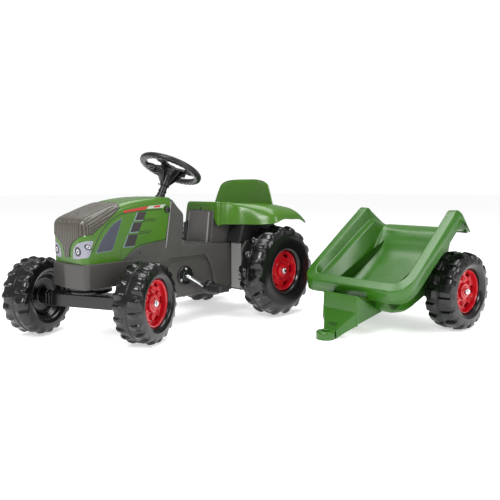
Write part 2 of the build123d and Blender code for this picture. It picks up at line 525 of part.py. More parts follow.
scoop_top = [scoop_line(i / 10) for i in range(11)]
scoop_under = [(y, z - WALL) for y, z in reversed(scoop_top)]
tub = tub_form(0, 0) - tub_form(WALL, WALL) + (side_solid(scoop_top + scoop_under, RIM_HALF_W) & tub_form(0, 0))
tub -= Pos(0, PEAK_Y - 60, tub_floor_z + (PEAK_Y - 60 - TUB_FRONT_Y) * TUB_FLOOR_SLOPE) * Cylinder(BLOW_HOLE_R, 24)
flange = tapered(RIM_HALF_W, rim_taper, 44, rim_length, 0)
opening = tapered(RIM_HALF_W, rim_taper, 44, rim_length + 160, RIM_FLANGE + WALL)
tub += rim_plane * Pos(0, 0, -WALL) * extrude(flange - opening, amount=WALL)
lip_space = tapered(RIM_HALF_W, rim_taper, 44, rim_length + 160, WALL)
tub += rim_plane * Pos(0, 0, -LIP_H) * extrude(flange - lip_space, amount=LIP_H)
ear = side_solid([(PEAK_Y - 3, peak_z), (PEAK_Y + 74, peak_z - 77 * rear_fall),
                  (PEAK_Y + 74, peak_z - 77 * rear_fall - WALL - 1), (PEAK_Y - 3, peak_z - WALL - 1)], PEAK_HALF_W + 10)
ear &= plan_solid([(-PEAK_HALF_W - 8, PEAK_Y + 80), (-PEAK_HALF_W, PEAK_Y - 5), (PEAK_HALF_W, PEAK_Y - 5),
                   (PEAK_HALF_W + 8, PEAK_Y + 80)], 0, 900)
inner_half = PEAK_HALF_W - RIM_FLANGE - WALL
ear -= tub_form(WALL, WALL) + span(-inner_half, inner_half, PEAK_Y - 9, TUB_REAR_Y, 0, 900)
tub = (tub + ear) - above_rear
nodes["trailer_tub"] = TRAILER_FRAME * tub

brace_back = TUB_FRONT_Y + 72
plate_low = 36.0
drawbar = span(-DRAWBAR_HALF_W, DRAWBAR_HALF_W, PLATE_Y, PLATE_Y + 5, plate_low, rim_z - 21)
tongue = side_solid([(EYE_Y, 0), (EYE_Y, EYE_THICK), (EYE_Y + EYE_R, EYE_THICK), (PLATE_Y + 5, plate_low + 24),
                     (PLATE_Y + 5, plate_low), (EYE_Y + EYE_R, 0)], DRAWBAR_HALF_W)
drawbar += tongue & plan_solid([(-EYE_R, EYE_Y), (-DRAWBAR_HALF_W, PLATE_Y), (-DRAWBAR_HALF_W, PLATE_Y + 6),
                                (DRAWBAR_HALF_W, PLATE_Y + 6), (DRAWBAR_HALF_W, PLATE_Y), (EYE_R, EYE_Y)], 0, 90)
floor_front = (TUB_FRONT_Y, tub_floor_z)
floor_back = (brace_back, tub_floor_z + (brace_back - TUB_FRONT_Y) * TUB_FLOOR_SLOPE)
brace = side_solid([(PLATE_Y + 4, plate_low), floor_back, floor_front, (TUB_FRONT_Y - 12, rim_z - 24),
                    (PLATE_Y + 4, rim_z - 24)], DRAWBAR_HALF_W)
drawbar += brace - side_solid([(-900, -9), (900, -9), (900, 900), (-900, 900)], DRAWBAR_HALF_W - 5)
drawbar += Pos(0, EYE_Y, EYE_THICK / 2) * Cylinder(EYE_R, EYE_THICK)
drawbar -= tub_form(0, 0) + tub
drawbar -= Pos(0, EYE_Y, EYE_THICK / 2) * Cylinder(EYE_HOLE_R, EYE_THICK + 30)
nodes["trailer_drawbar"] = TRAILER_FRAME * drawbar

carrier_half = TUB_FLOOR_HALF_W - 6
carrier = side_solid([(-18, TRAILER_TYRE_R - 13), (-18, TRAILER_FLOOR - 18 * TUB_FLOOR_SLOPE),
                      (18, TRAILER_FLOOR + 18 * TUB_FLOOR_SLOPE), (18, TRAILER_TYRE_R - 13)], carrier_half)
axle_space = Pos(0, 0, TRAILER_TYRE_R) * rod_x(-carrier_half - 1, carrier_half + 1, AXLE_R)
nodes["trailer_axle_carrier"] = TRAILER_FRAME * (carrier - axle_space)
trailer_end = TRAILER_OUTER_X - RIM_RECESS + 13
nodes["trailer_axle_rod"] = TRAILER_PLACE * rod_x(-trailer_end, trailer_end, AXLE_R)
sleeve_end = TRAILER_OUTER_X - TRAILER_TYRE_W + 6 - SIDE_GAP
sleeve = rod_x(carrier_half, sleeve_end, 10) - rod_x(0, sleeve_end + 1, AXLE_R)
nodes["trailer_sleeve_left"] = TRAILER_PLACE * sleeve
nodes["trailer_sleeve_right"] = TRAILER_PLACE * Rot(0, 0, 180) * sleeve

# ---- the origin goes under the middle of the whole set, then every piece is written ----
box = Compound(children=[Compound(solid.solids()) for solid in nodes.values()]).bounding_box()
SHIFT = (-(box.min.X + box.max.X) / 2, -(box.min.Y + box.max.Y) / 2, -box.min.Z)
os.makedirs("parts", exist_ok=True)
for name, shape in nodes.items():
    export_step(Pos(*SHIFT) * shape, f"parts/{name}.step")
    print(name, len(shape.solids()), round(shape.volume / 1000, 1))
print("size", box.size, "shift", SHIFT)
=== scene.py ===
import json
import math

import bmesh
import bpy
import numpy as np
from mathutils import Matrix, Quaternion, Vector


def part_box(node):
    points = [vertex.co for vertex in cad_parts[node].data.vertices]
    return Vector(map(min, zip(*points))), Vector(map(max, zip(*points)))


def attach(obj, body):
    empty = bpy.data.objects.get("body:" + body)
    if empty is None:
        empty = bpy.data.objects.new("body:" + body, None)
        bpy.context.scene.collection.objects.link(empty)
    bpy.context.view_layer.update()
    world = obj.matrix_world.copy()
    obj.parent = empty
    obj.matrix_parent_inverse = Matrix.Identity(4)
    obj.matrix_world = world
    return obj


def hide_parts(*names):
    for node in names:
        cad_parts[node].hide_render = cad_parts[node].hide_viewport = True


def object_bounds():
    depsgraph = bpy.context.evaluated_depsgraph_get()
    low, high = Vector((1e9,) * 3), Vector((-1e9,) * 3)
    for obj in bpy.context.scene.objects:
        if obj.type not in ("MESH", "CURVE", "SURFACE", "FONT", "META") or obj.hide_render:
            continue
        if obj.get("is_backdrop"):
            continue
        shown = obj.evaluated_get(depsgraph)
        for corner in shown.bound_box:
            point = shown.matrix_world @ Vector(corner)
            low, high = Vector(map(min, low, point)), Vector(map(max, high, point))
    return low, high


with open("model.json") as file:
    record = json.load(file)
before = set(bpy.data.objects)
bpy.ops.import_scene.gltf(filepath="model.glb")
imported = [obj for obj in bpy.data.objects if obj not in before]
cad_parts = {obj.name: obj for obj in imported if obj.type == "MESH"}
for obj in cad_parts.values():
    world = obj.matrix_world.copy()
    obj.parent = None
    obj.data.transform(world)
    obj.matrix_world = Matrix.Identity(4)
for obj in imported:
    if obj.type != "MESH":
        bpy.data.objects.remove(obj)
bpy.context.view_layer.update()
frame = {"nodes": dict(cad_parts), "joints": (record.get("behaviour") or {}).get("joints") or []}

# ---- studio ----
# A child's pedal tractor with its parked tub trailer, seen from the front left at a child's eye height, on a
# pale floor under soft lights. Everything is worked out in millimetres from the floor under the middle of the
# tractor's wheelbase: forward is -Y, the driver's left is +X.
MM = 0.001


def middle(node):
    """Centre of a CAD node's box, in millimetres."""
    low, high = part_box(node)
    return np.array((low + high) / 2) / MM


front_axle_mid, rear_axle_mid = middle("front_axle_rod"), middle("rear_axle_rod")
HOME = np.array([rear_axle_mid[0], (front_axle_mid[1] + rear_axle_mid[1]) / 2, 0.0])


def place(points):
    """From the tractor's own millimetres to the frame's metres."""
    return (np.asarray(points, float) + HOME) * MM


camera_data = bpy.data.cameras.new("camera")
camera_data.lens = 42.6
camera_data.sensor_width = 36
camera_data.clip_end = 50
camera = bpy.data.objects.new("camera", camera_data)
bpy.context.scene.collection.objects.link(camera)
azimuth, elevation, roll = math.radians(42.52), math.radians(6.08), math.radians(-0.10)
back = Vector((math.sin(azimuth) * math.cos(elevation), -math.cos(azimuth) * math.cos(elevation),
               math.sin(elevation)))
camera.rotation_mode = "QUATERNION"
camera.location = place([(1408.0, -1175.6, 415.3)])[0]
camera.rotation_quaternion = Quaternion(back, roll) @ (-back).to_track_quat("-Z", "Y")
bpy.context.scene.camera = camera
bpy.context.scene.view_settings.view_transform = "Standard"

floor_mesh = bpy.data.meshes.new("floor")
floor_mesh.from_pydata([(-30, -30, 0), (30, -30, 0), (30, 30, 0), (-30, 30, 0)], [], [(0, 1, 2, 3)])
floor = bpy.data.objects.new("floor", floor_mesh)
bpy.context.scene.collection.objects.link(floor)
floor_paint = bpy.data.materials.new("pale_floor")
floor_paint.use_nodes = True
floor_look = {"Base Color": (0.93, 0.93, 0.94, 1), "Roughness": 0.55, "Specular IOR Level": 0.15,
              "Emission Color": (1, 1, 1, 1), "Emission Strength": 0.53}
for key, value in floor_look.items():
    floor_paint.node_tree.nodes["Principled BSDF"].inputs[key].default_value = value
floor_mesh.materials.append(floor_paint)
floor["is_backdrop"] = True

world = bpy.data.worlds.new("studio")
world.use_nodes = True
world_nodes, world_links = world.node_tree.nodes, world.node_tree.links
light_sky, white_sky = world_nodes["Background"], world_nodes.new("ShaderNodeBackground")
sky_mix, ray_kind = world_nodes.new("ShaderNodeMixShader"), world_nodes.new("ShaderNodeLightPath")
for sky, strength in ((light_sky, 0.46), (white_sky, 1.05)):
    sky.inputs["Color"].default_value = (1, 1, 1, 1)
    sky.inputs["Strength"].default_value = strength
for start, end, socket in ((ray_kind.outputs["Is Camera Ray"], sky_mix, 0),
                           (light_sky.outputs[0], sky_mix, 1), (white_sky.outputs[0], sky_mix, 2),
                           (sky_mix.outputs[0], world_nodes["World Output"], "Surface")):
    world_links.new(start, end.inputs[socket])
bpy.context.scene.world = world


def soft_light(name, at, size, watts):
    """A square area light aimed at the middle of the set."""
    data = bpy.data.lights.new(name, "AREA")
    data.shape = "SQUARE"
    data.size = size
    data.energy = watts
    lamp = bpy.data.objects.new(name, data)
    lamp.location = at
    lamp.rotation_mode = "QUATERNION"
    lamp.rotation_quaternion = (Vector((0, 0, 0.25)) - Vector(at)).to_track_quat("-Z", "Y")
    bpy.context.scene.collection.objects.link(lamp)


soft_light("key", (0.9, -3.0, 2.6), 1.3, 75)
soft_light("side", (3.0, 0.6, 1.9), 1.5, 40)
soft_light("top", (-0.4, 0.4, 3.2), 2.4, 90)

# ---- tyres ----
# Hollow glossy black plastic, blown in two halves: each half has its own row of lugs, and a bead runs round
# the parting line. The inner side closes into a black dish, so only the outer side shows the red insert.


def curve(points, count):
    """A smooth line through given points: Catmull-Rom pieces, evenly spread over their number."""
    p = np.asarray(points, float)
    p = np.concatenate([2 * p[:1] - p[1:2], p, 2 * p[-1:] - p[-2:-1]])
    t = np.linspace(0, len(p) - 3 - 1e-9, count)
    i = t.astype(int)
    f = (t - i).reshape((-1,) + (1,) * (p.ndim - 1))
    a, b, c, d = p[i], p[i + 1], p[i + 2], p[i + 3]
    return 0.5 * (2 * b + (c - a) * f + (2 * a - 5 * b + 4 * c - d) * f ** 2 + (3 * b - a - 3 * c + d)
                  * f ** 3)


def step(x, low, high):
    """0 below low, 1 above high, and a smooth rise between."""
    t = np.clip((x - low) / (high - low), 0, 1)
    return t * t * (3 - 2 * t)


def circle(count):
    """Angles evenly spread over one full turn."""
    return np.linspace(0, 2 * math.pi, count, endpoint=False)


def grid(points, wrap_rows=False, wrap_cols=False):
    """Points in rows and columns as a part: a flat list of points, and its four-cornered faces."""
    rows, cols = points.shape[:2]
    r, c = np.meshgrid(np.arange(rows - (not wrap_rows)), np.arange(cols - (not wrap_cols)), indexing="ij")
    r1, c1 = (r + 1) % rows, (c + 1) % cols
    faces = np.stack([r * cols + c, r * cols + c1, r1 * cols + c1, r1 * cols + c], -1).reshape(-1, 4)
    return points.reshape(-1, 3), faces.tolist()


def joined(*parts):
    """Several parts as one."""
    points, faces, start = [], [], 0
    for part_points, part_faces in parts:
        points.append(np.asarray(part_points, float))
        faces += [[corner + start for corner in face] for face in part_faces]
        start += len(part_points)
    return np.vstack(points), faces


def mirrored(part):
    """The same part on the other side of the centre plane."""
    return part[0] * (-1, 1, 1), [face[::-1] for face in part[1]]


def both(part):
    """The part and its mirror image as one."""
    return joined(part, mirrored(part))


def moved(part, change):
    """The part with its points changed by a function."""
    return change(part[0]), part[1]


def piece(name, part, where, body, slot, material, replaces=(), sharp=40, wall=0.0, flat=False, shade=None):
    """Makes the mesh object of a part and puts it on its body. It is smooth but for edges sharper than an
    angle; a wall gives a single skin its thickness behind it; flat lets the large faces rule the shading;
    shade is the share of painted shade at each point, kept as an attribute."""
    points, faces = part
    mesh = bpy.data.meshes.new(name)
    mesh.from_pydata(where(points).tolist(), [], faces)
    if shade is not None:
        shades = mesh.attributes.new("shade", "FLOAT", "POINT")
        shades.data.foreach_set("value", np.asarray(shade, float).ravel())
    shape = bmesh.new()
    shape.from_mesh(mesh)
    bmesh.ops.remove_doubles(shape, verts=shape.verts, dist=2e-5)
    bmesh.ops.triangulate(shape, faces=[face for face in shape.faces if len(face.verts) > 4],
                          ngon_method="EAR_CLIP")
    bmesh.ops.recalc_face_normals(shape, faces=shape.faces)
    shape.to_mesh(mesh)
    shape.free()
    mesh.shade_smooth()
    mesh.set_sharp_from_angle(angle=math.radians(sharp))
    mesh.materials.append(material)
    made = bpy.data.objects.new(name, mesh)
    bpy.context.scene.collection.objects.link(made)
    if wall:
        thick = made.modifiers.new("wall", "SOLIDIFY")
        thick.thickness = abs(wall) * MM
        thick.offset = -1 if wall > 0 else 1
        thick.use_even_offset = False
    if flat:
        made.modifiers.new("flat", "WEIGHTED_NORMAL").keep_sharp = True
    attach(made, body)
    if replaces:
        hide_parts(*replaces)
    return made


def on_chassis(name, part, slot, material, replaces=(), **more):
    """A piece in the tractor's own millimetres that is fixed to its chassis."""
    return piece(name, part, place, "chassis", slot, material, replaces, **more)


def node(tree, kind, inputs=(), **settings):
    """A shader node with its settings and its inputs' values."""
    made = tree.nodes.new(kind)
    for key, value in settings.items():
        setattr(made, key, value)
    for key, value in dict(inputs).items():
        made.inputs[key].default_value = value
    return made


def wire(tree, wires):
    """Links shader nodes: each wire names a node and its output, then a node and its input."""
    for start, output, end, socket in wires:
        tree.links.new(start.outputs[output], end.inputs[socket])


def moulded_skin():
    """Shared look of moulded plastic: colour in soft clouds, streaky scuffs, fine grain and a slow ripple."""
    group = bpy.data.node_groups.new("moulded_skin", "ShaderNodeTree")
    sockets = (("Place", "NodeSocketVector"), ("Colour", "NodeSocketColor"), ("Deep", "NodeSocketColor"),
               ("Gloss", "NodeSocketFloat"), ("Scuff", "NodeSocketFloat"), ("Grain", "NodeSocketFloat"))
    for name, kind in sockets:
        group.interface.new_socket(name=name, in_out="INPUT", socket_type=kind)
    for name, kind in (("Colour", "NodeSocketColor"), ("Roughness", "NodeSocketFloat"),
                       ("Height", "NodeSocketFloat")):
        group.interface.new_socket(name=name, in_out="OUTPUT", socket_type=kind)
    enter, leave = group.nodes.new("NodeGroupInput"), group.nodes.new("NodeGroupOutput")
    cloud = node(group, "ShaderNodeTexNoise", {"Scale": 9.0, "Detail": 4.0})
    grain = node(group, "ShaderNodeTexNoise", {"Scale": 1100.0, "Detail": 2.0})
    ripple = node(group, "ShaderNodeTexNoise", {"Scale": 26.0, "Detail": 1.0})
    streak = node(group, "ShaderNodeTexNoise", {"Scale": 60.0, "Detail": 6.0, "Roughness": 0.7})
    stretch = node(group, "ShaderNodeMapping", {"Scale": (1.0, 5.0, 9.0)})
    scuff = node(group, "ShaderNodeMapRange", {"From Min": 0.6, "From Max": 0.78})
    scuffed = node(group, "ShaderNodeMath", operation="MULTIPLY")
    clouds = node(group, "ShaderNodeMapRange", {"From Min": 0.3, "From Max": 0.7})
    tone = node(group, "ShaderNodeMix", data_type="RGBA")
    rough = node(group, "ShaderNodeMath", {1: 0.35}, operation="MULTIPLY_ADD")
    patchy = node(group, "ShaderNodeMath", {1: 0.06}, operation="MULTIPLY_ADD")
    fine = node(group, "ShaderNodeMath", operation="MULTIPLY")
    height = node(group, "ShaderNodeMath", operation="ADD")
    wires = [(enter, "Place", texture, "Vector") for texture in (cloud, grain, ripple, stretch)]
    wires += [(stretch, "Vector", streak, "Vector"), (streak, "Fac", scuff, "Value"),
              (scuff, "Result", scuffed, 0), (enter, "Scuff", scuffed, 1), (cloud, "Fac", clouds, "Value"),
              (clouds, "Result", tone, 0), (enter, "Deep", tone, 6), (enter, "Colour", tone, 7),
              (tone, 2, leave, "Colour"), (scuffed, 0, rough, 0), (enter, "Gloss", rough, 2),
              (cloud, "Fac", patchy, 0), (rough, 0, patchy, 2), (patchy, 0, leave, "Roughness"),
              (grain, "Fac", fine, 0), (enter, "Grain", fine, 1), (fine, 0, height, 0),
              (ripple, "Fac", height, 1), (height, 0, leave, "Height")]
    wire(group, wires)
    return group


MOULDED = moulded_skin()


def finish(name, colour, deep, gloss, scuff=0.2, grain=0.2, bump=0.4, coat=0.0, metal=0.0, painted_shade=None):
    """A plastic or metal surface: its colour, a deeper shade of it in clouds, roughness, scuffs, grain
    and the depth of its ripple in millimetres. Where a piece's shade attribute is 1 the colour turns to the
    painted shade colour, which stands in for shade in recesses and grooves."""
    made = bpy.data.materials.new(name)
    made.use_nodes = True
    tree = made.node_tree
    shader = tree.nodes["Principled BSDF"]
    skin = node(tree, "ShaderNodeGroup", node_tree=MOULDED)
    for key, value in (("Colour", (*colour, 1)), ("Deep", (*deep, 1)), ("Gloss", gloss), ("Scuff", scuff),
                       ("Grain", grain)):
        skin.inputs[key].default_value = value
    bumps = node(tree, "ShaderNodeBump", {"Distance": bump * MM, "Strength": 0.5})
    wires = [(node(tree, "ShaderNodeTexCoord"), "Object", skin, "Place"), (skin, "Height", bumps, "Height"),
             (bumps, "Normal", shader, "Normal"), (skin, "Roughness", shader, "Roughness")]
    # Painted shade: where the shade attribute is 1 the colour mixes over to the painted shade colour.
    if painted_shade:
        mix = node(tree, "ShaderNodeMix", {7: (*painted_shade, 1)}, data_type="RGBA")
        painted_shade_share = node(tree, "ShaderNodeAttribute", attribute_name="shade")
        wires += [(painted_shade_share, "Fac", mix, 0), (skin, "Colour", mix, 6), (mix, 2, shader, "Base Color")]
    else:
        wires.append((skin, "Colour", shader, "Base Color"))
    wire(tree, wires)
    for key, value in (("Coat Weight", coat), ("Coat Roughness", 0.08), ("Metallic", metal)):
        shader.inputs[key].default_value = value
    return made


tyre_black = finish("tyre_black", (0.0045, 0.0045, 0.005), (0.003, 0.003, 0.003), 0.17, scuff=0.3,
                    grain=0.1, bump=0.3)
RIM_R = 63.0


def heading(joint_name):
    """Angle from +X of a level joint axis, taken pointing to +X."""
    axis = next(j for j in frame["joints"] if j["name"] == joint_name)["axis"]
    return math.atan(axis[1] / axis[0])


def turned(points, angle):
    """Points turned about the upright axis."""
    c, s = math.cos(angle), math.sin(angle)
    return np.asarray(points, float) @ np.array([[c, s, 0], [-s, c, 0], [0, 0, 1.0]])


STEER = heading("front_wheel_left_spin")
YAW = heading("trailer_wheel_left_spin")
TRAILER_HOME = middle("trailer_axle_rod") * (1, 1, 0)
FRONT_Y = front_axle_mid[1] - HOME[1]
REAR_Y = rear_axle_mid[1] - HOME[1]


def place_front(points):
    """From the front axle's own middle, wheels straight, to the frame with the axle turned as it stands."""
    return place(turned(points, STEER) + (0, FRONT_Y, 0))


def place_trailer(points):
    """From the floor under the trailer's axle, drawbar forward, to the frame."""
    return (turned(points, YAW) + TRAILER_HOME) * MM


def tyre(radius, width, lugs, share, lean, depth, crown, wedge, soft, reach, spread=(0.10, 0.24), ramp=0.0):
    """A tyre about its own centre, axle along X, outer side +X. Each half is its half section carried round;
    a point rises by depth where its turn, sheared by lean across the tread, lies in the lug's share of the
    pitch. Wedge narrows the lug towards the middle, soft rounds its flanks, reach is how far it runs down
    the sidewall, ramp stretches its leading flank."""
    half = width / 2
    tread = radius - depth
    shoulder = [(0.4, tread), (half * 0.35, tread - crown * 0.1), (half * 0.62, tread - crown * 0.4),
                (half * 0.84, tread - crown), (half * 0.96, tread - crown - 9), (half, tread - crown - 20),
                (half * 0.98, RIM_R + 14), (half * 0.91, RIM_R + 6.5), (half * 0.78, RIM_R + 2.5)]
    outer = curve(shoulder + [(half * 0.62, RIM_R + 0.5), (half * 0.50, RIM_R - 2)], 66)
    inner = curve(shoulder + [(half * 0.72, RIM_R - 2), (half * 0.50, RIM_R - 9), (half * 0.34, RIM_R - 16),
                              (half * 0.30, 24), (half * 0.55, 19), (half * 0.86, 17), (half * 0.86, 7)],
                  84)
    around = np.arange(lugs * 24) / 24
    parts = []
    for side, shift, section in ((-1, 0.5, inner), (1, 0.0, outer)):
        run = np.clip(section[:, 0] / half, 0, 1)
        high_enough = step(section[:, 1], tread - crown - reach, tread - crown - 3)
        along = step(run, *spread) * high_enough
        wide = (share * (1 - wedge + wedge * run))[:, None]
        off = ((around + shift) % 1.0 - 0.5)[None, :]
        front, rear = -wide / 2, wide / 2
        raised = step(off, front - soft, front + soft + ramp) * (1 - step(off, rear - soft, rear + soft))
        high = section[:, 1][:, None] + depth * along[:, None] * raised
        spin = 2 * math.pi * around[None, :] / lugs + lean * (section[:, 0] * high_enough)[:, None] / radius
        across = side * section[:, 0][:, None] + 0 * high
        parts.append(grid(np.stack([across, high * np.sin(spin), high * np.cos(spin)], -1), wrap_cols=True))
    turn = circle(144)[None, :]
    bead = circle(10)[:, None]
    ring = tread - 0.6 + 2.4 * np.cos(bead)
    parts.append(grid(np.stack([2.2 * np.sin(bead) + 0 * turn, ring * np.sin(turn), ring * np.cos(turn)],
                               -1), wrap_rows=True, wrap_cols=True))
    return joined(*parts)


def sidewall_pips(width, ring, count=72):
    """A ring of small round pips on the outer sidewall, each a shallow dome."""
    a = circle(8)
    spread, rise = np.array([1.3, 0.9, 0.05])[:, None], np.array([0.0, 0.7, 0.9])[:, None]
    parts = []
    for angle in circle(count):
        y, z = ring + spread * np.cos(a), spread * np.sin(a)
        parts.append(grid(np.stack([width / 2 - 0.5 + rise + 0 * a,
                                    y * math.sin(angle) + z * math.cos(angle),
                                    y * math.cos(angle) - z * math.sin(angle)], -1), wrap_cols=True))
    return joined(*parts)


# Radius of each tyre, its width, and how far its outer side stands from the middle, in millimetres.
FRONT_R, REAR_R, TRAILER_R = 111, 147, 114
FRONT_W, REAR_W, TRAILER_W = 85, 92, 91
FRONT_OUT, REAR_OUT, TRAILER_OUT = 217.5, 226.5, 216
PIP_RING = 108
front_tyre = tyre(FRONT_R, FRONT_W, 20, 0.66, 0.0, 6.0, 6, 0.30, 0.04, 10, (0.09, 0.50), 0.40)
rear_tyre = joined(tyre(REAR_R, REAR_W, 16, 0.50, 0.30, 8.5, 10, 0.25, 0.08, 14, (0.08, 0.34), 0.14),
                   sidewall_pips(REAR_W, PIP_RING))
trailer_tyre = tyre(TRAILER_R, TRAILER_W, 16, 0.60, 0.0, 8, 6, 0.0, 0.045, 15)
WHEEL_SETS = {"front": (front_tyre, place_front, 0, FRONT_OUT, FRONT_W),
              "rear": (rear_tyre, place, REAR_Y, REAR_OUT, REAR_W),
              "trailer": (trailer_tyre, place_trailer, 0, TRAILER_OUT, TRAILER_W)}
WHEEL_BODIES = {("rear", "right"): "rear_axle"}


def wheel_side(axle, side):
    """Function that takes a wheel's own points to the frame, the right wheel turned about."""
    where, y, outer_x, width = WHEEL_SETS[axle][1:]
    height = middle(f"{axle}_axle_rod")[2]

    def to_frame(points):
        shown = np.asarray(points, float) + (outer_x - width / 2, 0, 0)
        if side == "right":
            shown = shown * (-1, -1, 1)
        return where(shown + (0, y, height))
    return to_frame


for axle in WHEEL_SETS:
    for side in ("left", "right"):
        body = WHEEL_BODIES.get((axle, side), f"{axle}_wheel_{side}")
        piece(f"{axle}_tyre_{side}_skin", WHEEL_SETS[axle][0], wheel_side(axle, side), body,
              "black_plastic", tyre_black, [f"{axle}_tyre_{side}"], sharp=50)

# ---- rims and hub caps ----
# Red dished plastic inserts, each with six ring bosses, six windows by the edge and a raised hub. A pressed
# steel cap pushed on the axle end holds the wheel.
# The rim's second, almost black red is painted shade, laid in the sunk windows and the holes of the bosses.
rim_red = finish("rim_red", (0.56, 0.004, 0.012), (0.40, 0.002, 0.008), 0.24, bump=0.3, coat=0.3,
                 painted_shade=(0.01, 0.0, 0.0))
cap_steel = finish("cap_steel", (0.72, 0.72, 0.74), (0.55, 0.55, 0.58), 0.22, bump=0.2, metal=1.0)
RIM_RECESS, BOSS_RING = 28.0, 37.0


def rim(width):
    """The insert as a height over (r, turn): lip, dish, hub disc, ring bosses and sunk windows, with the
    share of painted shade at each point.
    """
    half = width / 2
    r = np.concatenate([np.linspace(8.5, 20, 10), np.linspace(20.5, 63.5, 76)])[:, None]
    turn = circle(240)[None, :]
    web = half - RIM_RECESS
    x = web + (half - 14 - web) * step(r, 56.5, 60) - 2.5 * step(r, 61.5, 63.5)
    x = x + 9.0 * (1 - step(r, 21.5, 24.5)) + 2.4 * (1 - step(r, 14.5, 16))
    x = x - 1.2 * step(r, 25, 27) * (1 - step(r, 48, 54))
    boss = (turn + math.pi / 6) % (math.pi / 3) - math.pi / 6
    apart = np.sqrt(np.maximum(r ** 2 + BOSS_RING ** 2 - 2 * r * BOSS_RING * np.cos(boss), 0))
    x = x + 6.5 * (1 - step(apart, 6.4, 7.8)) - 5.0 * (1 - step(apart, 2.8, 4.0))
    window = (turn % (math.pi / 3) - math.pi / 6) * r
    sunk = (1 - step(np.abs(window), 10, 11.5)) * step(r, 46.5, 48) * (1 - step(r, 55.5, 57))
    x = x - 12 * sunk
    # Painted shade: the sunk windows and the holes in the boss centres are marked to turn almost black.
    painted_shade = sunk + 0.8 * (1 - step(apart, 1.6, 2.8))
    points = np.stack([x, r * np.sin(turn), r * np.cos(turn)], -1)
    return grid(points, wrap_cols=True), np.clip(painted_shade, 0, 1)


def push_cap(width):
    """The cap turned about X: skirt, domed face and the sunk middle that grips the axle end."""
    seat = width / 2 - RIM_RECESS + 12
    profile = curve([(9.6, seat), (9.6, seat + 3), (8.6, seat + 5.6), (6.4, seat + 6.4), (4.6, seat + 5.0),
                     (4.2, seat + 3.2), (2.4, seat + 2.8), (0.05, seat + 3.2)], 30)
    turn = circle(48)[None, :]
    r, x = profile[:, :1], profile[:, 1:]
    slot = step(np.abs(r * np.sin(turn)), 0.6, 1.6)
    return grid(np.stack([x + 0 * turn - 1.8 * (1 - slot) * (1 - step(r, 7.5, 8.5)), r * np.sin(turn),
                          r * np.cos(turn)], -1), wrap_cols=True)


for axle, (_, _, _, _, width) in WHEEL_SETS.items():
    for side in ("left", "right"):
        body = WHEEL_BODIES.get((axle, side), f"{axle}_wheel_{side}")
        shape, painted_shade = rim(width)
        piece(f"{axle}_rim_{side}_insert", shape, wheel_side(axle, side), body, "red_plastic", rim_red,
              [f"{axle}_rim_{side}"], wall=2.0, shade=painted_shade)
        cap_body = {"front": "front_axle", "rear": "rear_axle", "trailer": "trailer"}[axle]
        piece(f"{axle}_cap_{side}_pressed", push_cap(width), wheel_side(axle, side), cap_body, "steel",
              cap_steel, [f"{axle}_cap_{side}"])

# ---- chassis ----
# One hollow grey moulding: the belt round the nose, the shoulders under the hood, the saddle, the recessed
# leg panels that carry the crank, the seat tower and the broad housing of the rear axle.
chassis_grey = finish("chassis_grey", (0.060, 0.058, 0.053), (0.050, 0.048, 0.044), 0.34, scuff=0.5,
                      grain=0.5, bump=0.5)
# A lighter grey painted as light: painted highlights along the cowl's front edge and the seat panel's sides,
# and painted light on the lit front faces of the axle housing.
painted_light_grey = finish("painted_light_grey", (0.26, 0.26, 0.255), (0.22, 0.22, 0.215), 0.34, bump=0.3)
shadow_black = finish("shadow_black", (0.006, 0.006, 0.006), (0.004, 0.004, 0.004), 0.6, bump=0.1)


def bend(corners, radius, steps=5, closed=False):
    """A line through corners with each one rounded by a parabola that starts and ends a radius away. The
    corners may be rows of points, one line for each column."""
    p = np.asarray(corners, float)
    size = (len(p),) + (1,) * (p.ndim - 1)
    reach = np.broadcast_to(np.asarray(radius, float), (len(p),)).reshape(size)
    before, after = np.roll(p, 1, 0) - p, np.roll(p, -1, 0) - p
    if not closed:
        before[0], after[-1], after[0], before[-1] = 0, 0, 0, 0
    far_b = np.maximum(np.linalg.norm(before, axis=-1, keepdims=True), 1e-9)
    far_a = np.maximum(np.linalg.norm(after, axis=-1, keepdims=True), 1e-9)
    start = p + before * np.minimum(reach / far_b, 0.48)
    end = p + after * np.minimum(reach / far_a, 0.48)
    t = np.linspace(0, 1, steps).reshape((1, steps) + (1,) * (p.ndim - 1))
    arc = (1 - t) ** 2 * start[:, None] + 2 * t * (1 - t) * p[:, None] + t ** 2 * end[:, None]
    return arc.reshape((-1,) + p.shape[1:])


def inset(outline, amount):
    """A closed counter-clockwise outline drawn in by an amount along its corners' bisectors."""
    a = outline - np.roll(outline, 1, 0)
    b = np.roll(outline, -1, 0) - outline
    a = a / np.maximum(np.linalg.norm(a, axis=1, keepdims=True), 1e-9)
    b = b / np.maximum(np.linalg.norm(b, axis=1, keepdims=True), 1e-9)
    normal = np.stack([-(a + b)[:, 1], (a + b)[:, 0]], -1)
    long = np.maximum(np.linalg.norm(normal, axis=1, keepdims=True), 0.5)
    return outline + amount * normal / long * (2 / long)


SIDE = (2, 0, 1)
PLAN = (0, 1, 2)
FRONT = (0, 2, 1)


def prism(corners, low, high, along, radius=2.0, edge=2.0):
    """A rounded outline pushed from low to high, with its rims rounded by rings that draw in as they near
    the end faces. Along says which way: SIDE takes (y, z) outlines, PLAN (x, y), FRONT (x, z)."""
    outline = bend(corners, np.maximum(radius, 1.2 * edge), closed=True)
    area = np.sum(outline[:, 0] * np.roll(outline[:, 1], -1) - np.roll(outline[:, 0], -1) * outline[:, 1])
    if area < 0:
        outline = outline[::-1]
    rings = []
    angles = np.linspace(0, math.pi / 2, 5)
    for end, way in ((low, 1), (high, -1)):
        for angle in (angles if way == 1 else angles[::-1]):
            drawn = inset(outline, edge * (1 - math.sin(angle)))
            level = end + way * edge * (1 - math.cos(angle))
            rings.append(np.column_stack([drawn, np.full(len(drawn), level)]))
    points, faces = grid(np.array(rings), wrap_cols=True)
    n = len(outline)
    faces += [list(range(n))[::-1], list(range(len(points) - n, len(points)))]
    return points[:, list(along)], faces


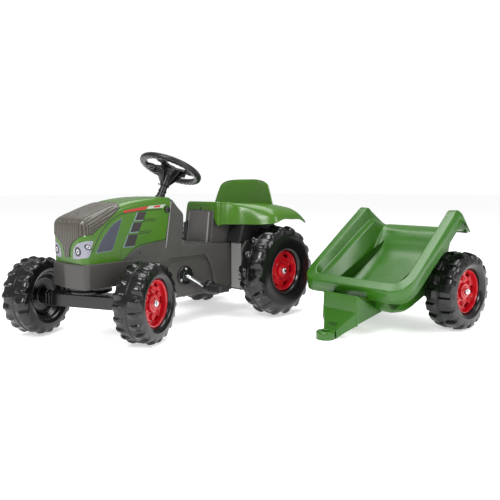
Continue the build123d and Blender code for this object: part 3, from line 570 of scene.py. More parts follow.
belt = prism([(-79, -100), (-80.5, -341), (-76, -355), (0, -365.5), (76, -355), (80.5, -341), (79, -100)],
             150, 216, PLAN, [1, 4, 4, 6, 4, 4, 1], 2.5)
shoulders = prism([(-250, 206), (-250, 216), (-232, 217), (-206, 237), (-178, 252), (-119, 260), (-84, 263),
                   (-20, 264), (-20, 209), (-70, 208), (-78, 200), (-140, 204)], -76.4, 76.4, SIDE,
                  [2, 3, 20, 18, 18, 18, 3, 3, 3, 4, 4, 8], 2)
saddle = prism([(-30, 209), (-30, 243), (185, 237), (185, 212), (120, 208)], -76.2, 76.2, SIDE, 3, 2)
hip = prism([(66, 212), (84, 197), (94, 180), (107, 140), (119, 84), (187, 84), (187, 222), (66, 222)],
            -76.0, 76.0, SIDE, [6, 12, 12, 12, 4, 3, 3, 3], 2)
leg_line = [(-160, 212), (-150, 152), (-66, 85), (150, 85), (150, 216), (-160, 216)]
leg = prism(leg_line, -66, 66, SIDE, [2, 6, 10, 2, 2, 2], 3)
panel_line = [(-62, 196), (66, 196), (84, 176), (100, 116), (102, 97), (-52, 97), (-88, 130)]
raised_panel = prism(panel_line, 60, 67.6, SIDE, [10, 12, 20, 12, 8, 10, 10], 1.4)
tower = prism([(108, 236), (120, 342), (245, 342), (245, 236)], -62, 62, SIDE, 3, 3)
housing = prism([(185, 86), (185, 221), (205, 247), (345, 247), (345, 86)], -128, 128, SIDE,
                [4, 8, 12, 8, 8], 5)
saddle_rib = prism([(-18, 238), (-18, 245), (104, 243), (104, 236)], -70, 70, SIDE, 1.5, 1.5)
moulding = joined(belt, shoulders, saddle, hip, leg, both(raised_panel), tower, housing, saddle_rib)
on_chassis("chassis_moulding", moulding, "grey_plastic", chassis_grey, ["chassis_shell"], flat=True)
# The housing's front faces, turned towards the lamps, are a lighter grey: painted light.
front_face = prism([(80, 92), (80, 238), (122, 238), (124, 150), (118, 92)], 183.4, 185.4, FRONT,
                   [2, 3, 6, 6, 6], 0.6)
on_chassis("housing_lit_faces", both(front_face), "grey_plastic", painted_light_grey, flat=True)
slots = [prism([(112, z), (112, z + 3.4), (126, z + 3.4), (126, z)], 182.6, 184.2, FRONT, 1.2, 0.4)
         for z in (148, 134, 120)]
tower_gap = prism([(-62, 243), (-62, 300), (-46, 308), (-46, 243)], 105, 112, FRONT, 1, 0.5)
boss_hole = prism([(-181, 234), (-177, 230), (-173, 234), (-177, 238)], 75, 76.8, SIDE, 3, 0.1)
on_chassis("chassis_gaps", joined(both(joined(*slots, boss_hole)), tower_gap), "grey_plastic", shadow_black,
           flat=True)

# ---- hood ----
# A green skin whose nose leans forward, closed at the front and open below, set down on the belt and behind
# the shoulders. Its section is drawn in planes that fan about a level line low in the middle of the hood.
hood_green = finish("hood_green", (0.050, 0.152, 0.006), (0.043, 0.134, 0.005), 0.22, scuff=0.15, bump=0.3)
HUB_Y, HUB_Z, HALF_W = -200.0, 214.0, 75.6
HOOD_STEPS, NOSE_STEPS, TOP_STEPS = 900, 260, 700
hood_line = curve([(-352, 214), (-353, 232), (-355, 275), (-355.5, 303), (-354, 321), (-346, 331),
                   (-330, 338.5), (-310, 345.5), (-280, 356), (-245, 366.5), (-200, 377), (-150, 383.5),
                   (-110, 386), (-78, 386), (-66, 384.5), (-62, 379), (-62, 360), (-72, 310), (-83, 255),
                   (-84, 215)], HOOD_STEPS)
hood_run = np.concatenate([[0], np.cumsum(np.linalg.norm(np.diff(hood_line, axis=0), axis=1))])


def hood_at(t, v, lift=0.0):
    """A point of the hood t millimetres along its middle line from the bottom of the nose, and v millimetres
    out from there: straight across, round the shoulder's arc, then in towards the fan's line."""
    y = np.interp(t, hood_run, hood_line[:, 0]) - HUB_Y
    z = np.interp(t, hood_run, hood_line[:, 1]) - HUB_Z
    reach = np.hypot(y, z)
    arc = np.interp(t, [0, 50, 120, 200, 330, 360], [15, 20, 26, 20, 14, 7])
    flat = HALF_W - arc
    past = np.clip((v - flat) / arc, 0, math.pi / 2)
    x = np.where(v < flat, v, flat + (arc + lift) * np.sin(past))
    bow = 2.5 * (1 - np.minimum(x / HALF_W, 1) ** 2)
    r = np.where(v < flat, reach + lift, reach - arc + (arc + lift) * np.cos(past)) + bow
    r = r - np.clip(v - flat - arc * math.pi / 2, 0, None)
    r = np.maximum(r, 0)
    return np.stack([x + 0 * r, HUB_Y + r * y / reach, HUB_Z + r * z / reach], -1)


out_lines = np.concatenate([np.linspace(0, 48, 10), np.linspace(49, 100, 28), np.linspace(104, 300, 30)])
t, v = np.meshgrid(np.linspace(0, hood_run[-1], 240), out_lines, indexing="ij")
hood_skin = grid(hood_at(t, v))
on_chassis("hood_moulding", both(hood_skin), "green_plastic", hood_green, ["hood_shell"])


def cord_line(points, radius, sides=8):
    """A thin round line through points: a circle carried along, square to the run."""
    path = np.asarray(points, float)
    run = np.gradient(path, axis=0)
    run = run / np.maximum(np.linalg.norm(run, axis=1, keepdims=True), 1e-9)
    lead = np.array([1.0, 0.17, 0.1])
    side = np.cross(run, lead)
    side = side / np.linalg.norm(side, axis=1, keepdims=True)
    up = np.cross(side, run)
    a = circle(sides)[None, :, None]
    return grid(path[:, None] + radius * (side[:, None] * np.cos(a) + up[:, None] * np.sin(a)),
                wrap_cols=True)


def on_side(points):
    """(y, z) points set on the side of the hood."""
    p = np.asarray(points, float)
    return np.column_stack([np.full(len(p), HALF_W), p])


seam_green = finish("seam_green", (0.006, 0.012, 0.003), (0.004, 0.009, 0.002), 0.4, bump=0.1)
seam = curve(on_side([(-341, 222), (-334, 236), (-325, 253), (-311, 279), (-294, 303), (-268, 327),
                      (-242, 341), (-224, 345), (-192, 349), (-140, 351), (-95, 352)]), 70)
seam[:, 0] -= 0.35 + 9 * step(-seam[:, 1], 326, 345)
panel_gap = curve(on_side([(-243, 217), (-239, 240), (-236, 250)]), 12)
panel_gap[:, 0] -= 0.5
fins = [curve(on_side([(a, z), ((a + b) / 2, z + 0.6), (b, z)]), 12) for a, b, z in
        ((-164, -116, 325.5), (-168, -119, 320.5), (-176, -134, 292.5), (-181, -141, 287.5))]
foot_gap = curve(on_side([(-246, 216.5), (-232, 218), (-206, 239), (-178, 254), (-150, 258.5), (-119, 262),
                          (-84, 265)]), 60)
seams = joined(cord_line(seam, 1.1), cord_line(panel_gap, 0.7), cord_line(foot_gap, 1.3),
               *[cord_line(f - (0.1, 0, 0), 0.9) for f in fins])
on_chassis("hood_seams", both(seams), "green_plastic", seam_green)

# ---- hood labels ----
# Thin printed plastic film stuck on the hood's sides and nose: headlamps, side windows, three air vents and
# a stripe, plain and without any lettering.
film_silver = finish("film_silver", (0.34, 0.35, 0.40), (0.20, 0.20, 0.25), 0.30, grain=0.6, bump=0.1)
film_slate = finish("film_slate", (0.048, 0.054, 0.080), (0.040, 0.045, 0.066), 0.30, bump=0.1)
film_plum = finish("film_plum", (0.034, 0.025, 0.030), (0.020, 0.014, 0.018), 0.32, bump=0.1)
film_edge = finish("film_edge", (0.16, 0.24, 0.22), (0.12, 0.19, 0.18), 0.32, bump=0.1)
film_red = finish("film_red", (0.42, 0.035, 0.022), (0.36, 0.028, 0.018), 0.32, bump=0.1)
film_white = finish("film_white", (0.42, 0.47, 0.40), (0.36, 0.40, 0.34), 0.34, bump=0.1)


def film(corners, thick=0.5, radius=1.0):
    """A flat label on both sides of the hood, from its (y, z) corners, as thick as it stands proud."""
    return both(prism(corners, HALF_W - 1.2, HALF_W + thick, SIDE, radius, 0.25))


def shrunk(corners, amount):
    """The corners drawn in towards their middle by a share."""
    p = np.asarray(corners, float)
    return p + (p.mean(0) - p) * amount


window = [(-318, 243), (-266, 246), (-231, 333), (-246, 327), (-262, 318), (-284, 296), (-303, 272)]
WINDOW_BENDS = [3, 6, 2, 9, 9, 9, 9]
vents = [[(-180, 346), (-151, 347), (-162, 325), (-191, 324)],
         [(-196, 318), (-165, 319), (-178, 293), (-208, 292)],
         [(-213, 286), (-181, 286), (-194, 254), (-228, 254)]]
vent_frames = [[(a[0] - 3.6, a[1] + 0.6), (a[0] + 0.5, a[1] + 0.6), (d[0] + 1, d[1] + 0.5),
                (c[0] - 0.5, c[1] + 0.5), (c[0], c[1] - 2.6), (d[0] - 5, d[1] - 2.6)]
               for a, b, c, d in vents]
LABELS = {
    "window_edges": (film(window, 0.3, WINDOW_BENDS), film_edge),
    "window_films": (film(shrunk(window, 0.045), 0.5, WINDOW_BENDS), film_slate),
    "vent_frames": (joined(*[film(v, 0.5, 0.6) for v in vent_frames]), film_edge),
    "vent_films": (joined(*[film(v, 0.35, 1.2) for v in vents]), film_plum),
    "stripe_red": (film([(-229, 352), (-225, 345.5), (-153, 354), (-144, 362.5), (-160, 361)]), film_red),
    "stripe_white": (film([(-142, 362.5), (-150, 355), (-92, 356.5), (-80, 367)]), film_white),
    "stripe_tail": (film([(-122, 363), (-126, 357.5), (-104, 358), (-99, 364.5)], 0.7), film_red),
}
for name, (part, ink) in LABELS.items():
    on_chassis(name, part, "green_plastic", ink, flat=True)


def nose_film(left, right, lift):
    """A label that follows the nose, between two lines of (out from the middle, height up the nose)."""
    a, b = curve(left, 40), curve(right, 40)
    share = np.linspace(0, 1, 30)[None, :, None]
    flat = a[:, None] * (1 - share) + b[:, None] * share
    along = np.interp(flat[..., 1], hood_line[:NOSE_STEPS, 1], hood_run[:NOSE_STEPS])
    part = grid(hood_at(along, flat[..., 0], lift))
    return both(part)


def lamp_ring(at, big, small, squash=1.0):
    """A ring label round a headlamp bulb, between two radii."""
    a = circle(40)
    r = np.linspace(big, small, 5)[:, None]
    out, height = at[0] + r * np.cos(a), at[1] + r * squash * np.sin(a)
    part = grid(hood_at(np.interp(height, hood_line[:NOSE_STEPS, 1], hood_run[:NOSE_STEPS]), out, 0.75),
                wrap_cols=True)
    return both(part)


lamp_left = [(28, 229), (29, 238), (31, 250), (38, 260), (50, 268), (66, 275), (84, 285), (101, 292)]
lamp_right = [(54, 229.5), (64, 232), (78, 235), (84, 240), (88, 248), (92, 260), (96, 275), (102, 291)]
on_chassis("headlamp_films", nose_film(lamp_left, lamp_right, 0.5), "green_plastic", film_silver)
on_chassis("headlamp_rings", joined(lamp_ring((52, 249), 12.5, 7.0), lamp_ring((83, 266), 10, 6.8, 0.8),
                                    lamp_ring((52, 248), 3.2, 0.1), lamp_ring((83, 266), 2.4, 0.1)),
           "green_plastic", film_plum)
on_chassis("headlamp_bulbs", joined(lamp_ring((52, 249), 6.0, 3.4), lamp_ring((84, 267), 5.4, 2.6, 0.8)),
           "green_plastic", finish("film_bulb", (0.75, 0.76, 0.80), (0.55, 0.56, 0.62), 0.25, bump=0.1))

# ---- grille ----
# A taupe moulding let into the nose and the front of the hood's top: ribs run up the front and over the top,
# nested chevrons fill the sides, and a tongue reaches down between the headlamps.
# The grille's second, darker colour is painted shade, laid in the grooves between its ribs and chevrons.
grille_taupe = finish("grille_taupe", (0.085, 0.077, 0.062), (0.070, 0.063, 0.051), 0.30, scuff=0.3,
                      grain=0.4, bump=0.3, painted_shade=(0.020, 0.017, 0.013))
fan_degrees = np.array([6.5, 12, 17, 20.5, 24, 29, 32, 36, 41, 46, 53, 62, 70, 74.5, 77.5, 79.5])
reach_out = np.array([11.5, 14, 20, 31, 52, 80, 98, 107, 105, 102, 95, 87, 80, 75, 62, 0])
fan_of_line = np.degrees(np.arctan2(hood_line[:, 1] - HUB_Z, HUB_Y - hood_line[:, 0]))
first, last = np.interp([6.5, 79.5], fan_of_line[:TOP_STEPS], hood_run[:TOP_STEPS])
along = np.linspace(first, last, 330)[:, None]
fan = np.interp(along, hood_run[:TOP_STEPS], fan_of_line[:TOP_STEPS])
limit = np.interp(fan, fan_degrees, reach_out)
share = np.concatenate([np.linspace(0, 0.985, 150), [1.0, 1.0]])[None, :]
out = limit * share
spot = hood_at(along, out, 0)
rib = 0.5 + 0.5 * np.cos(2 * math.pi * out / 8.0)
groove_front = step(rib, 0.02, 0.20)
fore, rise = -312 - spot[..., 1], (spot[..., 2] - 300) * 0.9 - (spot[..., 1] + 312) * 0.42
chevron = np.maximum(fore, rise) / 7.0
groove_side = step(np.abs((chevron % 1.0) - 0.5), 0.05, 0.22)
on_flank = step(out, 64, 70) * (1 - step(fan, 72, 76))
proud = groove_front * (1 - on_flank) + groove_side * on_flank
rim_flat = step(limit - out, 2.0, 3.5) * step(along - first, 1.0, 3.0)
low = 1 - (1 - proud) * rim_flat
lift = np.where(share * np.ones_like(low) >= 1.0, 0.9, 0.8 + 1.6 * low)
lift[:, -1] = -1.5
grille_points = hood_at(along + 0 * out, out, lift)
grille_part = grid(grille_points)
# Painted shade: the grooves, where low is 0, turn to the darker colour.
on_chassis("grille_moulding", both(grille_part), "taupe_plastic", grille_taupe, ["grille_cap"], sharp=60,
           shade=np.concatenate([(1 - low).ravel()] * 2))
outline = hood_at(along[:, 0], limit[:, 0] + 0.6, 0.5)
rim_gap = cord_line(outline, 0.9)
on_chassis("grille_gap", both(rim_gap), "green_plastic", seam_green)
stud_parts = []
for fan_at, out_at in ((37, 66), (27.5, 76)):
    along_stud = np.interp(fan_at, fan_of_line[:TOP_STEPS], hood_run[:TOP_STEPS])
    centre = hood_at(np.array(along_stud), np.array(float(out_at)), 0.8)
    a, b = np.meshgrid(np.linspace(0, math.pi / 2, 5), circle(14), indexing="ij")
    dome = np.stack([np.cos(a) * np.cos(b) * 2.6, -np.sin(a) * 2.6, np.cos(a) * np.sin(b) * 2.6], -1)
    stud_parts.append(grid(centre + dome, wrap_cols=True))
on_chassis("grille_studs", both(joined(*stud_parts)), "taupe_plastic", film_white)

# ---- dash cowl and hood knobs ----
# The grey end of the hood that carries the steering column, with a light line along its front edge that is a
# painted highlight, and the black knobs that hold the hood down.
cowl_line = [(-84, 262), (-66, 382), (-56, 380), (-36, 358), (-13, 337), (-13, 300), (-20, 262)]
cowl = prism(cowl_line, -75.8, 75.8, SIDE, [1, 3, 6, 8, 8, 8, 2], 4)
on_chassis("cowl_moulding", cowl, "grey_plastic", chassis_grey, ["dash_cowl"], flat=True)
# A light grey line along the cowl's front edge: a painted highlight where the edge catches the light.
lip = cord_line(curve([(75.6, -84, 240), (76.2, -80, 262), (76.2, -70, 320), (76, -63, 366), (72, -61, 379),
                       (64, -60, 384)], 60), 1.5)
on_chassis("cowl_lip_highlights", both(lip), "grey_plastic", painted_light_grey)


def lathe(profile, count=56):
    """(radius, height) points turned about Z."""
    p = np.asarray(profile, float)
    a = circle(count)[None, :]
    return grid(np.stack([p[:, :1] * np.cos(a), p[:, :1] * np.sin(a), p[:, 1:] + 0 * a], -1),
                wrap_cols=True)


def onto_side(part, y, z, x):
    """A part turned about Z laid over so that its axis runs out along +X from a point of the side."""
    p = part[0]
    return np.stack([x + p[:, 2], y + p[:, 0], z + p[:, 1]], -1), part[1]


knob_profile = bend([(0.05, 7.6), (3.5, 7.6), (5.6, 6.2), (8.6, 5.4), (9.2, 0)], [0.1, 0.8, 1, 1.4, 0.1])
knob = onto_side(lathe(knob_profile), -78, 351, HALF_W)
glossy_black = finish("glossy_black", (0.006, 0.006, 0.0065), (0.004, 0.004, 0.0045), 0.20, scuff=0.3,
                      bump=0.3)
for side, part in (("left", knob), ("right", mirrored(knob))):
    on_chassis(f"hood_knob_{side}_turned", part, "black_plastic", glossy_black, [f"hood_knob_{side}"])

# ---- seat ----
# One green blown shell: a dished pan with a rolled front, side skirts that flare into both rear mudguards,
# and a low backrest that wraps forward at its ends.
NET = [
    [(0, 190, 355), (0, 165, 358), (0, 147, 364), (0, 135, 369),
     (0, 128, 361), (0, 126, 348), (0, 125, 340)],
    [(0, 195, 355), (20, 168, 358), (34, 148, 364), (40, 135, 369),
     (42, 128, 361), (43, 126, 348), (43, 125, 340)],
    [(0, 200, 355), (34, 172, 358), (56, 152, 364), (66, 140, 369),
     (71, 132, 361), (74, 128, 330), (75, 125, 297)],
    [(0, 206, 355), (40, 180, 358), (62, 165, 363), (71, 156, 368),
     (76, 151, 360), (79, 146, 330), (80, 142, 297)],
    [(0, 214, 355), (44, 192, 358), (66, 183, 363), (76, 178, 367),
     (82, 174, 359), (87, 170, 330), (89, 166, 297)],
    [(0, 224, 355), (46, 208, 357), (72, 202, 361), (88, 198, 363),
     (100, 197, 352), (112, 197, 325), (120, 195, 297)],
    [(0, 240, 355), (48, 228, 356), (80, 224, 360), (110, 222, 362),
     (140, 222, 350), (166, 222, 325), (182, 222, 298)],
    [(0, 262, 355), (50, 256, 356), (90, 252, 359), (130, 251, 362),
     (170, 250, 350), (200, 250, 328), (212, 250, 303)],
    [(0, 290, 357), (52, 290, 357), (94, 290, 358), (135, 290, 361),
     (175, 290, 352), (203, 290, 334), (214, 290, 314)],
    [(0, 320, 360), (54, 322, 359), (96, 326, 356), (136, 330, 357),
     (176, 330, 349), (204, 330, 331), (214, 330, 312)],
    [(0, 340, 362), (56, 345, 358), (98, 356, 350), (138, 364, 348),
     (176, 370, 343), (204, 372, 328), (214, 372, 310)],
    [(0, 350, 352), (58, 360, 344), (100, 382, 336), (140, 395, 328),
     (178, 402, 320), (204, 403, 309), (213, 402, 298)],
]
around_seat = curve(NET, 150)
seat_half = grid(np.swapaxes(curve(np.swapaxes(around_seat, 0, 1), 90), 0, 1))
on_chassis("seat_moulding", both(seat_half), "green_plastic", hood_green, ["seat_shell"], wall=3.5)


def backrest():
    """A closed slab over (a across, b up): wider at the foot, rounded at the top corners, its ends swept
    forward by the square of a, thickness falling to nothing at the rim."""
    a, b = np.meshgrid(np.linspace(-1, 1, 91), np.linspace(0, 1, 61), indexing="ij")
    half = np.interp(b, [0, 0.15, 0.5, 0.76, 0.86, 0.93, 0.975, 1], [140, 136, 125, 115, 107, 96, 84, 70])
    x = a * half
    z = 352 + 90 * b - 3 * np.abs(a) ** 4 * b
    y = 336 + 8 * b - 15 * a ** 2
    parts = []
    thick = 5.5 * np.sqrt(np.clip(1 - np.abs(a) ** 12, 0, 1)) * np.sqrt(np.clip(1 - b ** 14, 0, 1))
    for side in (-1, 1):
        parts.append(grid(np.stack([x, y + side * thick, z], -1)))
    return joined(*parts)


on_chassis("backrest_moulding", backrest(), "green_plastic", hood_green)
# A black sheet under the seat and mudguards, reaching down to the axle housing: painted shade where the
# mudguards' undersides lie in shadow.
shade_sheet = prism([(176, 238), (196, 300), (206, 342), (336, 342), (350, 300), (350, 238)], -122, 122, SIDE, 4,
             4)
on_chassis("seat_shade_sheet", shade_sheet, "black_plastic", shadow_black, flat=True)
keyhole = prism([(-3, 340), (-3, 350), (3, 350), (3, 340)], 124.0, 128.6, FRONT, 3, 0.4)
on_chassis("seat_notch", keyhole, "green_plastic", shadow_black, flat=True)
panel_low, panel_high = (110.5, 241), (123.5, 338)


def panel_at(points):
    """(across, up the panel, out of it) to the leaning front of the seat tower."""
    p = np.asarray(points, float)
    share = (p[:, 1] - panel_low[1]) / (panel_high[1] - panel_low[1])
    return np.column_stack([p[:, 0], panel_low[0] + share * (panel_high[0] - panel_low[0]) - p[:, 2],
                            p[:, 1]])


panel = prism([(-45, 241), (45, 241), (45, 338), (-45, 338)], 0, 6, PLAN, 3, 2)
on_chassis("seat_panel_plate", moved(panel, panel_at), "grey_plastic",
           finish("panel_grey", (0.095, 0.090, 0.084), (0.082, 0.078, 0.072), 0.4, grain=0.5, bump=0.3),
           ["seat_panel"], flat=True)
# Light grey strips along the panel's sides: painted highlights on its edges.
panel_edge = [prism([(x - 2.4, 242), (x + 2.4, 242), (x + 2.4, 337), (x - 2.4, 337)], 0, 6.8, PLAN, 2, 1.4)
              for x in (-45.5, 45.5)]
on_chassis("seat_panel_edges", moved(joined(*panel_edge), panel_at), "grey_plastic", painted_light_grey, flat=True)

# ---- crank, bearings and pedals ----
# A bent chromed rod turns in black bearing plates held by three screws each; its ends carry round black
# hubs with ribbed foot blocks.
chrome = finish("chrome_bright", (0.80, 0.82, 0.84), (0.66, 0.68, 0.70), 0.10, scuff=0.3, bump=0.1,
                metal=1.0)
satin_black = finish("satin_black", (0.008, 0.008, 0.0085), (0.005, 0.005, 0.0055), 0.34, scuff=0.3,
                     grain=0.5, bump=0.3)
plated_steel = finish("plated_steel", (0.60, 0.60, 0.62), (0.45, 0.45, 0.48), 0.25, bump=0.1, metal=1.0)
CRANK_Y, CRANK_Z, LEG_FACE = -5.0, 149.0, 66.0
CRANK_THROW, CRANK_TURN, SCREW_RING = 72, math.radians(-31), 22
bearing_profile = bend([(6.5, -2), (6.5, 8.2), (12, 8.2), (13.5, 6.4), (27, 6.4), (30, 4.6), (30, -2)],
                       [0.1, 1, 1, 1, 1.5, 1.5, 0.1])
bearing = onto_side(lathe(bearing_profile, 72), CRANK_Y, CRANK_Z, LEG_FACE + 1)
for side, part in (("left", bearing), ("right", mirrored(bearing))):
    on_chassis(f"crank_bearing_{side}_plate", part, "black_plastic", glossy_black,
               [f"crank_bearing_{side}"])
screw_profile = bend([(0.05, 1.4), (1.6, 1.4), (2.4, 2.6), (3.8, 1.8), (4.2, 0)], 0.4)
for i in range(3):
    turn = math.radians(90 + 120 * i)
    at = (CRANK_Y + SCREW_RING * math.cos(turn), CRANK_Z + SCREW_RING * math.sin(turn))
    screw = onto_side(lathe(screw_profile, 24), *at, LEG_FACE + 7.2)
    on_chassis(f"bearing_screw_{i + 1}_head", both(screw), "steel", plated_steel,
               [f"bearing_screw_{i + 1}"])
arm_y, arm_z = CRANK_THROW * math.cos(CRANK_TURN), CRANK_THROW * math.sin(CRANK_TURN)


def pedal_block():
    """The foot block: a rounded bar along X with ribs across it, and the round hub it grows from."""
    bar = prism([(120, -21), (172, -21), (176, -17), (176, 17), (172, 21), (120, 21)], -9, 9, PLAN, 4, 3)
    ribs = [prism([(x, -22.2), (x + 3.4, -22.2), (x + 3.4, 22.2), (x, 22.2)], -10.2, 10.2, PLAN, 1.5, 1.4)
            for x in np.arange(124, 172, 7.6)]
    hub_profile = bend([(7, -11), (17, -11), (20.5, -8), (20.5, 8), (18, 12), (9, 13.5), (0.05, 13.5)], 2)
    hub = lathe(hub_profile, 56)
    hub = (np.stack([110 + hub[0][:, 2], hub[0][:, 0], hub[0][:, 1]], -1), hub[1])
    return joined(bar, *ribs, hub)


pedal = pedal_block()
piece("pedal_left_block", moved(pedal, lambda p: p + (0, CRANK_Y + arm_y, CRANK_Z + arm_z)), place,
      "pedal_left", "black_plastic", satin_black, ["pedal_left"], flat=True)
piece("pedal_right_block", moved(mirrored(pedal), lambda p: p + (0, CRANK_Y - arm_y, CRANK_Z - arm_z)),
      place, "pedal_right", "black_plastic", satin_black, ["pedal_right"], flat=True)

# ---- front axle ----
# A black moulded beam that carries the chromed front axle and turns with both front wheels under the belt;
# its ends are ribbed, and a round plate slides against the belt's underside.
beam_line = [(-132, -27), (-96, -30), (-40, -30), (40, -30), (96, -30), (132, -27), (132, 27), (40, 30),
             (-40, 30), (-132, 27)]
beam = prism(beam_line, -22, 14, PLAN, [3, 10, 14, 14, 10, 3, 3, 14, 14, 3], 3)
beam_ribs = [prism([(x, -29.5), (x + 7, -29.5), (x + 7, 29.5), (x, 29.5)], -23, 13.4, PLAN, 2, 1.6)
             for x in (-132, -122, -112, -100, 93, 105, 115, 125)]
plate_profile = bend([(0.05, 30), (56, 30), (60, 27), (60, 21), (46, 17), (0.05, 17)], [0, 1, 2, 1, 2, 0])
piece("axle_beam_moulding", moved(joined(beam, *beam_ribs, lathe(plate_profile, 72)),
                                  lambda p: p + (0, 0, front_axle_mid[2])), place_front, "front_axle",
      "black_plastic", glossy_black, ["axle_beam"], flat=True)

# ---- steering wheel and column ----
# A black moulded wheel: thick flattened rim, three spokes pierced near the rim, a domed hub and a webbed cone
# below it, on a ribbed column with a small bolt through its neck.
column_axis = Vector(next(j for j in frame["joints"] if j["name"] == "column_turn")["axis"]).normalized()
column_axis = np.array(column_axis if column_axis.z > 0 else -column_axis)
WHEEL_AT = middle("wheel_cap") - HOME - 4 * column_axis
across = np.array([1.0, 0, 0])
ahead = np.cross(column_axis, across)


def place_wheel(points):
    """From the steering wheel's own middle, Z up its column, to the frame as it stands turned."""
    p = turned(points, STEER)
    return place(WHEEL_AT + p[:, :1] * across + p[:, 1:2] * ahead + p[:, 2:] * column_axis)


def wheel_rim():
    """The rim: a flattened round section carried round, with finger bumps underneath."""
    a, b = np.meshgrid(circle(216), circle(28),
                       indexing="ij")
    thick = 8.6 + 0.5 * np.cos(36 * a) * step(-np.sin(b), 0.2, 0.8)
    r = 86.5 + 10.5 * np.sign(np.cos(b)) * np.abs(np.cos(b)) ** 0.8
    z = thick * np.sign(np.sin(b)) * np.abs(np.sin(b)) ** 0.8
    return grid(np.stack([r * np.cos(a), r * np.sin(a), z], -1), wrap_rows=True, wrap_cols=True)


def spoke(turn):
    """One spoke: a tapering bar that dips to the hub, and a ring round the hole by the rim."""
    bar = prism([(16, -15), (50, -10), (56, -9), (56, 9), (50, 10), (16, 15)], -6, 3, PLAN, 4, 2.4)
    rib = prism([(14, -2.5), (56, -2.5), (56, 2.5), (14, 2.5)], -20, -3, PLAN, 2, 1.5)
    ring_profile = bend([(7.5, -5), (7.5, 3), (10, 4), (15, 4), (16, 2), (16, -4), (14, -6), (9, -6),
                         (7.5, -5)], 1)
    ring = lathe(ring_profile, 40)
    ring = (ring[0] + (66, 0, 0), ring[1])
    arms = [prism([(60, s * 12), (82, s * 17), (82, s * 8), (62, s * 6)], -6, 3, PLAN, 3, 2)
            for s in (-1, 1)]
    part = joined(bar, rib, ring, *arms)
    return turned(part[0], turn), part[1]


hub_profile = bend([(0.05, 6.5), (14, 6.2), (22, 3.5), (27, -3), (26, -9), (17, -20), (14.5, -40),
                    (14.5, -58), (11, -60)], [0, 3, 4, 4, 4, 6, 8, 1, 0])
web = prism([(12, -4), (12, -52), (15, -52), (46, -8), (46, -4)], -1.6, 1.6, FRONT, 2, 0.8)
web_parts = [(turned(web[0], a), web[1])
             for a in (0.35, -0.35, math.pi - 0.35, math.pi + 0.35, 1.5 * math.pi)]
spokes = [spoke(a) for a in (0, math.pi, 1.5 * math.pi)]
piece("steering_wheel_moulding", joined(wheel_rim(), *spokes, lathe(hub_profile), *web_parts), place_wheel,
      "steering", "black_plastic", satin_black, ["steering_wheel"], flat=True)
cap_profile = bend([(0.05, 9.5), (10, 9.2), (17, 7.5), (20, 4), (20, 1)], [0, 3, 3, 2, 0])
sleeve_end = np.dot(WHEEL_AT - middle("column_bush") + HOME, column_axis) - 4
rings = np.linspace(60, sleeve_end, 80)
ring_r = 11.0 + 1.5 * (0.5 + 0.5 * np.sign(np.sin(2 * math.pi * (rings - 60) / 12.0))) * step(rings, 66, 72)
sleeve = lathe(np.column_stack([ring_r, -rings]), 40)
piece("column_sleeve", sleeve, place_wheel, "steering", "black_plastic", satin_black, flat=True)
piece("wheel_cap_disc", lathe(cap_profile), place_wheel, "steering", "black_plastic", glossy_black,
      ["wheel_cap"])

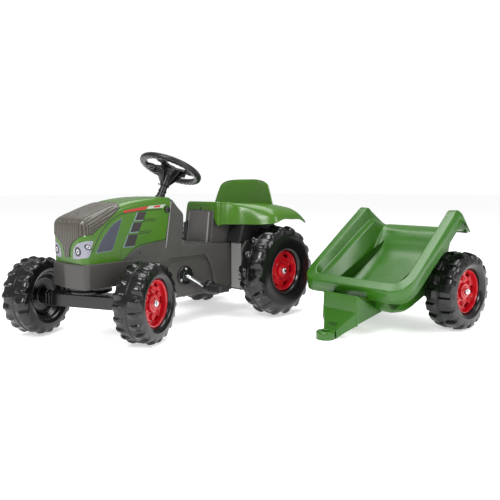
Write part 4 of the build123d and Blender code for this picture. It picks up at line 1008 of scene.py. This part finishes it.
# ---- trailer tub ----
# A green blown tub open at the top and tipped down at the front: an outer lip under a flat rim, walls with a
# ledge along them, a sloping floor with a step up its middle, and ears where the rim ends over the wheels.
tub_green = finish("tub_green", (0.028, 0.132, 0.004), (0.022, 0.110, 0.003), 0.24, scuff=0.2, bump=0.4)
TUB = [
    [(0, -279, 105), (0, -287, 139), (0, -262, 158), (0, -255, 134), (0, -252, 130),
     (0, -243, 100), (0, -230, 80), (0, -180, 99), (0, -140, 120)],
    [(100, -279, 105), (100, -287, 139), (98, -262, 158), (95, -255, 134), (93, -252, 130),
     (78, -243, 100), (66, -230, 80), (42, -185, 97), (0, -140, 120)],
    [(150, -277, 105), (148, -285, 139), (136, -261, 159), (130, -254, 136), (126, -250, 131),
     (104, -240, 101), (84, -226, 81), (48, -180, 99), (0, -138, 121)],
    [(179, -262, 112), (176, -272, 150), (154, -252, 168), (147, -245, 146), (141, -240, 140),
     (108, -228, 105), (88, -214, 86), (51, -170, 104), (0, -133, 124)],
    [(191, -228, 138), (189, -242, 173), (161, -230, 184), (152, -222, 161), (145, -218, 154),
     (104, -200, 104), (86, -188, 97), (52, -150, 114), (0, -120, 132)],
    [(191, -158, 196), (186, -178, 224), (157, -176, 226), (149, -166, 200), (140, -163, 192),
     (102, -152, 124), (84, -137, 122), (50, -125, 129), (0, -100, 145)],
    [(190, -80, 258), (181, -100, 286), (152, -99, 287), (144, -88, 258), (134, -85, 249),
     (110, -80, 172), (90, -75, 161), (50, -72, 163), (0, -68, 166)],
    [(188, -30, 298), (177, -48, 327), (148, -47, 328), (140, -34, 296), (129, -31, 286),
     (119, -22, 211), (96, -18, 201), (52, -16, 203), (0, -16, 203)],
    [(187, 0, 314), (174, -20, 348), (146, -19, 347), (139, -8, 312), (128, -5, 302),
     (122, 6, 238), (101, 12, 236), (54, 14, 238), (0, 16, 240)],
    [(199, 12, 286), (177, 4, 336), (148, 6, 334), (141, 14, 308), (130, 18, 298),
     (126, 27, 263), (104, 31, 260), (54, 30, 259), (0, 30, 259)],
    [(166, 50, 294), (158, 48, 308), (148, 46, 308), (141, 44, 296), (133, 44, 290),
     (130, 45, 282), (108, 45, 278), (54, 42, 273), (0, 40, 271)],
    [(152, 82, 277), (151, 80, 290), (146, 76, 290), (138, 72, 285), (129, 69, 285),
     (114, 64, 284), (95, 58, 282), (50, 50, 279), (0, 46, 276)],
    [(120, 84, 277), (120, 82, 290), (118, 78, 290), (112, 73, 286), (106, 70, 286),
     (95, 66, 285), (80, 60, 283), (42, 52, 279), (0, 47, 277)],
    [(0, 84, 277), (0, 82, 290), (0, 78, 290), (0, 73, 286), (0, 70, 286),
     (0, 66, 285), (0, 60, 283), (0, 54, 281), (0, 49, 278)],
]
tub_rows = curve(TUB, 260)
tub_lines = bend(np.swapaxes(tub_rows, 0, 1), [0.1, 3, 3.5, 3, 4, 10, 16, 30, 0.1], 9)
tub_half = grid(tub_lines)
body_line = [(-256, 128), (-249, 98), (-232, 66), (-188, 61), (-145, 60), (-56, 93), (44, 134), (78, 262),
             (70, 278), (46, 271), (11, 227), (-22, 191), (-81, 149), (-137, 113), (-190, 87), (-225, 74),
             (-238, 98), (-246, 128)]
body_bends = [2, 6, 20, 20, 30, 30, 14, 6, 3, 3, 20, 20, 20, 20, 20, 10, 6, 2]
tub_body = prism(body_line, -103, 103, SIDE, body_bends, 8)
piece("tub_moulding", both(tub_half), place_trailer, "trailer", "green_plastic", tub_green, ["trailer_tub"],
      wall=3.5, sharp=60)
piece("tub_underbody", tub_body, place_trailer, "trailer", "green_plastic", tub_green, flat=True)

# ---- drawbar ----
# A green moulding under the tub's front: an upright plate, two gussets back to the floor, and a hollow-backed
# tongue that narrows down to an eye on the floor, with a few raised marks across it.
plate = prism([(-64, 40), (-60, 118), (62, 118), (66, 42)], -322, -314, FRONT, 5, 2.5)
gusset = prism([(-318, 40), (-318, 117), (-286, 112), (-228, 72), (-150, 84), (-160, 74), (-232, 58)], 56,
               64, SIDE, [4, 3, 3, 8, 2, 2, 30], 2)
eye_profile = bend([(12, 0), (12, 21.5), (14, 22.5), (24, 22.5), (26.5, 19), (26.5, 0), (12, 0)],
                   [0, 1, 1, 2, 2, 1, 0])
eye = lathe(eye_profile, 64)
eye = (eye[0] + (0, -378, 0), eye[1])


def deck_strip():
    """The tongue as a closed body: for each step from plate to eye, an outline of deck and underside."""
    b = np.linspace(0, 1, 40)
    half = 64 - 41 * b ** 0.8
    top = 80 - 58 * b ** 0.85
    low = 36 * (1 - b)
    y = -319 - 42 * b
    rows = np.stack([np.stack([-half, y, low], -1), np.stack([-half, y, top], -1),
                     np.stack([half, y, top], -1), np.stack([half, y, low], -1)], 0)
    return grid(bend(rows, [2, 4, 4, 2], 5, closed=True), wrap_rows=True)


marks = [prism([(x, -352), (x + 1, -343), (x + 2.4, -343), (x + 1.4, -352)], 28, 41.5, PLAN, 0.5, 0.4)
         for x in np.arange(-14, 15, 4.0)]
piece("drawbar_moulding", joined(plate, both(gusset), deck_strip(), eye, *marks), place_trailer, "trailer",
      "green_plastic", tub_green, ["trailer_drawbar"], flat=True)

# ---- rods, bearings, chain drive and hitch ----
# Turned and stamped steel parts, black bushes and the black column, shown as drawn in the frame; each takes
# its finish from the material that the real part is made of.


def finish_nodes(material, *names):
    """Gives CAD nodes a finish through their own material slots."""
    for name in names:
        shown = frame["nodes"][name]
        if not shown.material_slots:
            shown.data.materials.append(material)
        for slot in shown.material_slots:
            slot.material = material


finish_nodes(chrome, "crank_shaft", "front_axle_rod", "rear_axle_rod", "trailer_axle_rod")
finish_nodes(plated_steel, "crank_sprocket", "rear_sprocket", "drive_chain", "king_pin", "drag_link",
             "column_bracket", "column_bolt", "hitch_pin")
finish_nodes(satin_black, "steering_column", "column_bush", "rear_bearing_left", "rear_bearing_right",
             "hitch_bracket", "trailer_axle_carrier", "trailer_sleeve_left", "trailer_sleeve_right")

# ---- size of the finished model ----
# The finished model's box, as plain numbers.
low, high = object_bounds()
